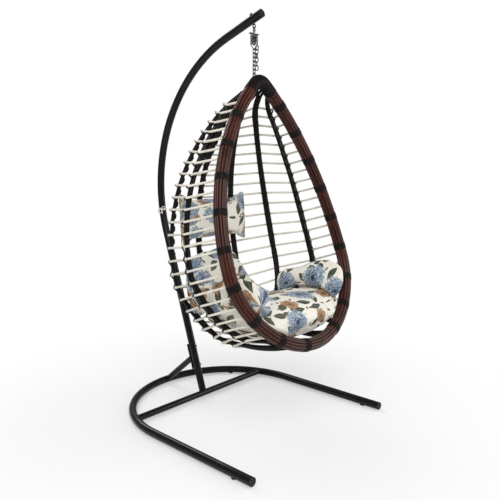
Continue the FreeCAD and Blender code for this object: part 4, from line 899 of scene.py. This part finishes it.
def rod_centres(node):
    """Centres of a rib's two rods where planes through a hub inside it cut them, from the top down."""
    whole = welded(node)
    low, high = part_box(node)
    hub = Vector((0, (low.y + high.y) / 2, (low.z + high.z) / 2))
    pairs = []
    for turn in np.linspace(RIB_TOP, RIB_FOOT, WRAP_CUTS):
        outward = Vector((0, math.cos(turn), math.sin(turn)))
        normal = Vector((0, -math.sin(turn), math.cos(turn)))
        work = whole.copy()
        plane = {"plane_co": hub, "plane_no": normal, "clear_inner": True, "clear_outer": True}
        bmesh.ops.bisect_plane(work, geom=work.verts[:] + work.edges[:] + work.faces[:], **plane)
        rings = cut_rings(work, hub, outward)
        work.free()
        if len(rings) == 2:
            start = pairs[-1][0] if pairs else min(rings, key=tuple)
            pairs.append(sorted(rings, key=lambda ring: np.linalg.norm(ring - start)))
    whole.free()
    pairs = np.array(pairs)
    apart = np.linalg.norm(pairs[:, 1] - pairs[:, 0], axis=1)
    return pairs[abs(apart / np.median(apart) - 1) < CUT_TOLERANCE]


def cut_rings(work, hub, outward):
    """Middles of the rings of cut edges out from a hub, their vertices weighed by the edges they join."""
    rings = []
    for group in islands(work.verts):
        if (group[0].co - hub).dot(outward) > 0:
            weights = np.array([sum(edge.calc_length() for edge in vertex.link_edges) for vertex in group])
            rings.append(weights @ np.array([vertex.co for vertex in group]) / weights.sum())
    return rings


def rib_lines():
    """For each rib, even middles between its rods, the way across from rod to rod and the way out."""
    lines = []
    for node in RIBS:
        pairs = rod_centres(node)
        first = spline_points(list(pairs[:, 0]), resolution=4)
        second = spline_points(list(pairs[:, 1]), resolution=4)
        both = np.hstack([(first + second) / 2, (second - first) / 2])
        steps = np.linalg.norm(np.diff(both[:, :3], axis=0), axis=1)
        lengths = np.concatenate([[0], np.cumsum(steps)])
        marks = np.arange(0, lengths[-1], WRAP_TURN / 3)
        even = np.column_stack([np.interp(marks, lengths, both[:, part]) for part in range(6)])
        middles, across = even[:, :3], even[:, 3:]
        way = unit(np.gradient(middles, axis=0))
        out = unit(np.cross(across, way))
        hub = middles.mean(axis=0)
        facing = np.sign(((middles - hub) * out).sum(axis=1).sum())
        lines.append((middles, across, out * facing))
    return lines


def make_rib_wrap(lines):
    """Black strip wound in close turns round both rods of each rib."""
    vertices, faces = [], []
    around = np.linspace(-math.pi / 2, math.pi / 2, WRAP_SIDES)
    for middles, across, out in lines:
        half = np.linalg.norm(across, axis=1)[:, None] + WRAP_WIDER
        side = unit(across)
        first = len(vertices)
        reach = WRAP_RADIUS - np.where(np.arange(len(middles)) % 3 == 0, WRAP_SEAM, 0)[:, None]
        rings = []
        for sign in (1, -1):
            for angle in around:
                aside = side * (half + reach * math.cos(angle)) + out * reach * math.sin(angle)
                rings.append(middles + sign * aside)
        sides = len(rings)
        vertices.extend(np.stack(rings, axis=1).reshape(-1, 3))
        for step in range(len(middles) - 1):
            low = first + step * sides
            for index in range(sides):
                after = (index + 1) % sides
                faces.append((low + index, low + after, low + sides + after, low + sides + index))
        faces.append(tuple(range(first + sides - 1, first - 1, -1)))
        last = first + (len(middles) - 1) * sides
        faces.append(tuple(range(last, last + sides)))
    mesh = bpy.data.meshes.new("rib_wrap")
    mesh.from_pydata([tuple(place) for place in vertices], [], faces)
    work = bmesh.new()
    work.from_mesh(mesh)
    bmesh.ops.recalc_face_normals(work, faces=work.faces)
    work.to_mesh(mesh)
    work.free()
    new_piece("rib_wrap", mesh, FINISHES["binding"])


def make_lacing(rows, lines):
    """A black strand down each rib that rises over every cord and hugs the wound strip between them."""
    spans = np.array(rows).reshape(len(rows), len(PANELS), 2, 3)
    corners = (spans[:, :-1, 1] + spans[:, 1:, 0]) / 2
    ways = unit(spans[:, :, 1] - spans[:, :, 0])
    travel = unit(ways[:, :-1] + ways[:, 1:])
    outward = unit(ways[:, :-1] - ways[:, 1:])
    strands = []
    for rib, (middles, across, out) in enumerate(lines):
        controls = []
        for level in range(len(rows)):
            here = corners[level, rib] + travel[level, rib] * LACING_SHIFT
            if level:
                last = corners[level - 1, rib]
                for share in LACING_DIPS:
                    between = last * (1 - share) + corners[level, rib] * share
                    near = np.argmin(np.linalg.norm(middles - between, axis=1))
                    dip = middles[near] + out[near] * (WRAP_RADIUS + LACING_RADIUS * LACING_BED)
                    controls.append(dip + travel[level, rib] * LACING_SHIFT)
            over = here + outward[level, rib] * LACING_LIFT
            controls.extend([over, over])
        strands.append(spline_points(controls, resolution=3))
    mesh = tube_mesh("rib_lacing", strands, LACING_RADIUS, 8)
    new_piece("rib_lacing", mesh, LACING_FINISH)


SPRING_TURNS = 7
SPRING_WIRE = 0.0022
SPRING_STEPS = 28


def make_spring():
    """Coil between the seat and the cap."""
    low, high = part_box("spring")
    centre = (low + high) / 2
    radius = (high.x - low.x) / 2 - SPRING_WIRE
    count = SPRING_TURNS * SPRING_STEPS
    points = []
    for index in range(count + 1):
        angle = 2 * math.pi * index / SPRING_STEPS
        height = low.z + SPRING_WIRE + (high.z - low.z - 2 * SPRING_WIRE) * index / count
        points.append((centre.x + radius * math.cos(angle), centre.y + radius * math.sin(angle), height))
    mesh = tube_mesh("coil_spring", [np.array(points)], SPRING_WIRE, 10)
    coil = new_piece("coil_spring", mesh, FINISHES["hanger_steel"], body=None)
    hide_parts("spring")
    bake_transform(coil)


# Cord tied round the mast: its turns, the gap under it, its bow's loops as (aside, rise, reach), their outline,
# and the hanging end's places as (down, forward, aside).
TIE_RADIUS = 0.0022
TIE_LEAN = 0.16
TIE_TURNS = 2
TIE_STEPS = 14
TIE_GAP = 0.0006
TIE_CLIMB = 4.4 * TIE_RADIUS
TIE_DROP = 0.008
TIE_LOOPS = ((1, 0.2, 0.014), (-0.6, -0.9, 0.0135))
LOOP_OUTLINE = ((0.5, 0.55), (1.5, 0.75), (2.05, 0), (1.5, -0.75), (0.5, -0.55))
TIE_END = ((0.009, 0.002, 0), (0.020, 0, 0.004), (0.027, 0, 0.003))


def make_mast_tie():
    """Two turns of cord round the mast, tied in a bow of two open loops with a short end."""
    low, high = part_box("mast_tie")
    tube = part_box("mast")[1].x
    ring = tube + TIE_RADIUS + TIE_GAP
    lean = Vector((0, TIE_LEAN, 1)).normalized()
    across = Vector((1, 0, 0))
    deep = lean.cross(across)
    middle = Vector((0, (low.y + high.y) / 2, high.z - TIE_DROP))
    facing = (across * -0.8 - deep * 0.6).normalized()
    beside = lean.cross(facing)

    def around(angle, reach, climb):
        return middle + (across * math.cos(angle) + deep * math.sin(angle)) * reach + lean * climb

    first = math.atan2(facing.dot(deep), facing.dot(across))
    controls = []
    for index in range(TIE_TURNS * TIE_STEPS + 1):
        share = index / (TIE_TURNS * TIE_STEPS)
        controls.append(around(first + 2 * math.pi * TIE_TURNS * share, ring, (share - 0.5) * TIE_CLIMB))
    lines = [spline_points(controls, resolution=5)]
    knot = middle + facing * (ring + 2 * TIE_RADIUS)
    for aside, rise, reach in TIE_LOOPS:
        way = (beside * aside + lean * rise + facing * 0.45).normalized()
        wide = (lean * aside - beside * rise).normalized()
        loop = [knot + (way * onward + wide * wider) * reach for onward, wider in LOOP_OUTLINE]
        lines.append(spline_points([knot, *loop, knot], resolution=6))
    end = [knot - lean * down + facing * forward + beside * aside for down, forward, aside in TIE_END]
    lines.append(spline_points([knot, *end], resolution=6))
    mesh = tube_mesh("mast_tie_cord", lines, TIE_RADIUS, 8)
    tie = new_piece("mast_tie_cord", mesh, FINISHES["cord"], "stand")
    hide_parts("mast_tie")


def plain_copy(piece):
    """The evaluated mesh of an object, with its modifiers applied."""
    return bpy.data.meshes.new_from_object(piece.evaluated_get(bpy.context.evaluated_depsgraph_get()))


def swollen(piece, start):
    """Lets cloth swell under pressure, no point further than the limit from its start."""
    cloth = piece.modifiers.new("cloth", "CLOTH")
    settings = cloth.settings
    settings.quality = 6
    settings.mass = 0.25
    settings.tension_stiffness = 12
    settings.compression_stiffness = 12
    settings.shear_stiffness = 6
    settings.bending_stiffness = 0.4
    settings.use_pressure = True
    settings.uniform_pressure_force = CUSHION_PRESSURE
    settings.effector_weights.gravity = 0
    cloth.collision_settings.use_collision = False
    for step in range(1, CUSHION_FRAMES + 1):
        scene.frame_set(step)
    mesh = plain_copy(piece)
    piece.modifiers.remove(cloth)
    scene.frame_set(1)
    moved = vertex_places(mesh) - start
    bpy.data.meshes.remove(mesh)
    reach = np.linalg.norm(moved, axis=1, keepdims=True)
    return start + moved * np.minimum(1, CUSHION_LIMIT / np.maximum(reach, 1e-9))


def arc_lengths(half_depth, half_height):
    """Table of arc length from the front round an ellipse, and its whole perimeter."""
    angles = np.linspace(-math.pi, math.pi, 721)
    speeds = np.hypot(half_height * np.cos(angles), half_depth * np.sin(angles))
    lengths = np.concatenate([[0], np.cumsum((speeds[1:] + speeds[:-1]) / 2 * np.diff(angles))])
    return angles, lengths - lengths[-1] / 2, lengths[-1]


def print_map(mesh, local, half, shift):
    """UV in metres: along the cushion's width, and round its section."""
    angles, lengths, whole = arc_lengths(half[1], half[2])
    turn = np.arctan2(local[:, 2] / half[2], local[:, 1] / half[1])
    round_way = np.interp(turn, angles, lengths)
    corners = np.empty(len(mesh.loops), dtype=np.int32)
    mesh.loops.foreach_get("vertex_index", corners)
    quads = round_way[corners].reshape(-1, 4)
    crossing = quads.max(axis=1) - quads.min(axis=1) > whole / 2
    quads[crossing] += np.where(quads[crossing] < 0, whole, 0)
    uv = np.column_stack([local[corners, 0] + shift[0], quads.ravel() + shift[1]])
    layer = mesh.uv_layers.new(name="UVMap")
    layer.data.foreach_set("uv", uv.astype(np.float32).ravel())


def line_gap(points, line):
    """Least distance of each point from a line of places."""
    least = np.full(len(points), np.inf)
    for start, end in zip(line[:-1], line[1:]):
        run = end - start
        share = np.clip((points - start) @ run / (run @ run), 0, 1)
        gap = np.linalg.norm(points - start - share[:, None] * run, axis=1)
        least = np.minimum(least, gap)
    return least


def tucked(points, normals):
    """Presses the seat's tucks into its cover, with a little swell beside each."""
    depth = np.zeros(len(points))
    for line, deepest in zip(SEAT_TUCKS, TUCK_DEPTHS):
        share = line_gap(points, np.array(line)) / TUCK_HALF_WIDTH
        depth += deepest * (np.exp(-share ** 2) - TUCK_SWELL * np.exp(-((share - TUCK_SWELL_PLACE) ** 2)))
    return points - normals * depth[:, None]


def drawn_in(points, centre, axes, half):
    """Draws a pillow's sides in between its corners, which stay pointed."""
    local = (points - centre) @ axes
    share_x = np.clip(np.abs(local[:, 0]) / half[0], 0, 1)
    share_z = np.clip(np.abs(local[:, 2]) / half[2], 0, 1)
    local[:, 0] *= 1 + PILLOW_DRAW * (share_z ** 4 - PILLOW_MIDDLE) * share_x ** 2
    local[:, 2] *= 1 + 2 * PILLOW_DRAW * (share_x ** 4 - PILLOW_MIDDLE) * share_z ** 2
    return local @ axes.T + centre


def filled_out(points, whole, centre, axes):
    """Stretches a swollen cover along the cushion's axes to the reach of the whole cushion."""
    local = (points - centre) @ axes
    wanted = (whole - centre) @ axes
    low, high = local.min(axis=0), local.max(axis=0)
    wanted_low, wanted_high = wanted.min(axis=0), wanted.max(axis=0)
    share = (2 * local - low - high) / (high - low)
    stretched = (wanted_low + wanted_high) / 2 + share * (wanted_high - wanted_low) / 2
    return stretched @ axes.T + centre


def vertex_normals(mesh):
    normals = np.empty(len(mesh.vertices) * 3, dtype=np.float32)
    mesh.vertex_normals.foreach_get("vector", normals)
    return normals.reshape(-1, 3)


def vertex_places(mesh):
    places = np.empty(len(mesh.vertices) * 3)
    mesh.vertices.foreach_get("co", places)
    return places.reshape(-1, 3)


def set_places(mesh, places):
    mesh.vertices.foreach_set("co", places.ravel())
    mesh.update()


def make_cushion(node, number):
    """A cushion's printed cover, swollen by cloth from its solid."""
    facts = CUSHIONS[node]
    low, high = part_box(node)
    centre = np.array((low + high) / 2)
    lean = Matrix.Rotation(math.radians(facts["lean"]), 3, "X")
    axes = np.array(Matrix.Rotation(math.radians(facts["turn"]), 3, "Z") @ lean)
    blank = placed(f"{node}_blank", nodes[node].data.copy())
    weld = blank.modifiers.new("weld", "WELD")
    weld.merge_threshold = 1e-5
    remesh = blank.modifiers.new("remesh", "REMESH")
    remesh.mode = "VOXEL"
    remesh.voxel_size = CUSHION_VOXEL
    ease = blank.modifiers.new("ease", "SMOOTH")
    ease.factor = 0.5
    ease.iterations = 6
    mesh = plain_copy(blank)
    bpy.data.objects.remove(blank)
    normals = vertex_normals(mesh)
    whole = vertex_places(mesh)
    work = placed(f"{node}_work", mesh)
    start = whole - normals * CUSHION_SHRINK
    set_places(mesh, start)
    set_places(mesh, swollen(work, start))
    finer = work.modifiers.new("finer", "SUBSURF")
    finer.levels = 1
    finer.render_levels = 1
    final = plain_copy(work)
    bpy.data.objects.remove(work)
    places = filled_out(vertex_places(final), whole, centre, axes)
    set_places(final, places)
    local = (places - centre) @ axes
    if node == "seat_cushion":
        set_places(final, tucked(places, vertex_normals(final)))
    if node == "head_pillow":
        set_places(final, drawn_in(places, centre, axes, facts["half"]))
    print_map(final, local, facts["half"], [number * shift for shift in PRINT_SHIFT])
    cushion = new_piece(f"{node}_cover", final, FINISHES["cushion_print"])
    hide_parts(node)


def make_floor():
    """Plain pale floor that fades into the white background."""
    mesh = bpy.data.meshes.new("floor")
    reach = 14
    drop = -0.0006
    corners = [(-reach, -reach, drop), (reach, -reach, drop), (reach, reach, drop), (-reach, reach, drop)]
    mesh.from_pydata(corners, [], [(0, 1, 2, 3)])
    floor = placed("floor", mesh)
    material, tree, shader = new_material("pale_floor")
    shader["Base Color"].default_value = (0.86, 0.86, 0.86, 1)
    shader["Roughness"].default_value = 0.8
    place = object_place(tree)
    away = rescale(tree, vector_calc(tree, "LENGTH", place), 0.5, 1.7, 0.35, 1, True)
    light = tree.nodes.new("ShaderNodeLightPath").outputs
    glow = add(tree, "ShaderNodeEmission", {"Color": (1, 1, 1, 1), "Strength": 1.0})
    mixed = add(tree, "ShaderNodeMixShader", {0: times(tree, light["Is Camera Ray"], away)})
    tree.links.new(tree.nodes["Principled BSDF"].outputs[0], mixed.inputs[1])
    tree.links.new(glow.outputs[0], mixed.inputs[2])
    tree.links.new(mixed.outputs[0], tree.nodes["Material Output"].inputs["Surface"])
    mesh.materials.append(material)


def make_light():
    """Soft studio light: a pale surround, a large key on the left and two weaker lamps."""
    world = bpy.data.worlds.new("studio")
    scene.world = world
    world.use_nodes = True
    tree = world.node_tree
    ground = tree.nodes["Background"]
    light = tree.nodes.new("ShaderNodeLightPath").outputs
    given = mix_value(tree, light["Is Glossy Ray"], WORLD_LIGHT, WORLD_MIRRORED)
    give(tree, ground.inputs["Strength"], mix_value(tree, light["Is Camera Ray"], given, 1.0))
    ground.inputs["Color"].default_value = (1, 1, 1, 1)
    lamps = [
        ("key", (-2.4, -2.2, 3.2), 2.4, 95),
        ("fill", (2.6, -2.4, 1.8), 2.0, 35),
        ("rear", (0.6, 3.0, 3.0), 2.0, 45),
    ]
    target = Vector((0, -0.1, 0.9))
    for name, place, size, power in lamps:
        lamp = bpy.data.lights.new(name, "AREA")
        lamp.shape = "SQUARE"
        lamp.size = size
        lamp.energy = power
        holder = bpy.data.objects.new(name, lamp)
        holder.location = place
        holder.rotation_euler = (target - Vector(place)).to_track_quat("-Z", "Y").to_euler()
        scene.collection.objects.link(holder)


def make_camera():
    lens = bpy.data.cameras.new("camera")
    lens.sensor_width = SENSOR_WIDTH
    lens.lens = SENSOR_WIDTH * FOCAL_PIXELS / PHOTO_SIZE
    camera = bpy.data.objects.new("camera", lens)
    camera.location = CAMERA_PLACE
    level = math.cos(CAMERA_DIP)
    aside, onward = -math.sin(CAMERA_AZIMUTH), math.cos(CAMERA_AZIMUTH)
    look = Vector((aside * level, onward * level, -math.sin(CAMERA_DIP)))
    camera.rotation_euler = look.to_track_quat("-Z", "Y").to_euler()
    scene.collection.objects.link(camera)
    scene.camera = camera


scene.view_settings.view_transform = "Standard"
make_camera()
make_light()
make_floor()
dress_frame()
make_canes()
make_bindings()
cord_routes = cord_rows()
make_cords(cord_routes)
rib_routes = rib_lines()
make_rib_wrap(rib_routes)
make_lacing(cord_routes, rib_routes)
make_spring()
make_mast_tie()
for cushion_number, cushion_node in enumerate(CUSHIONS):
    make_cushion(cushion_node, cushion_number)
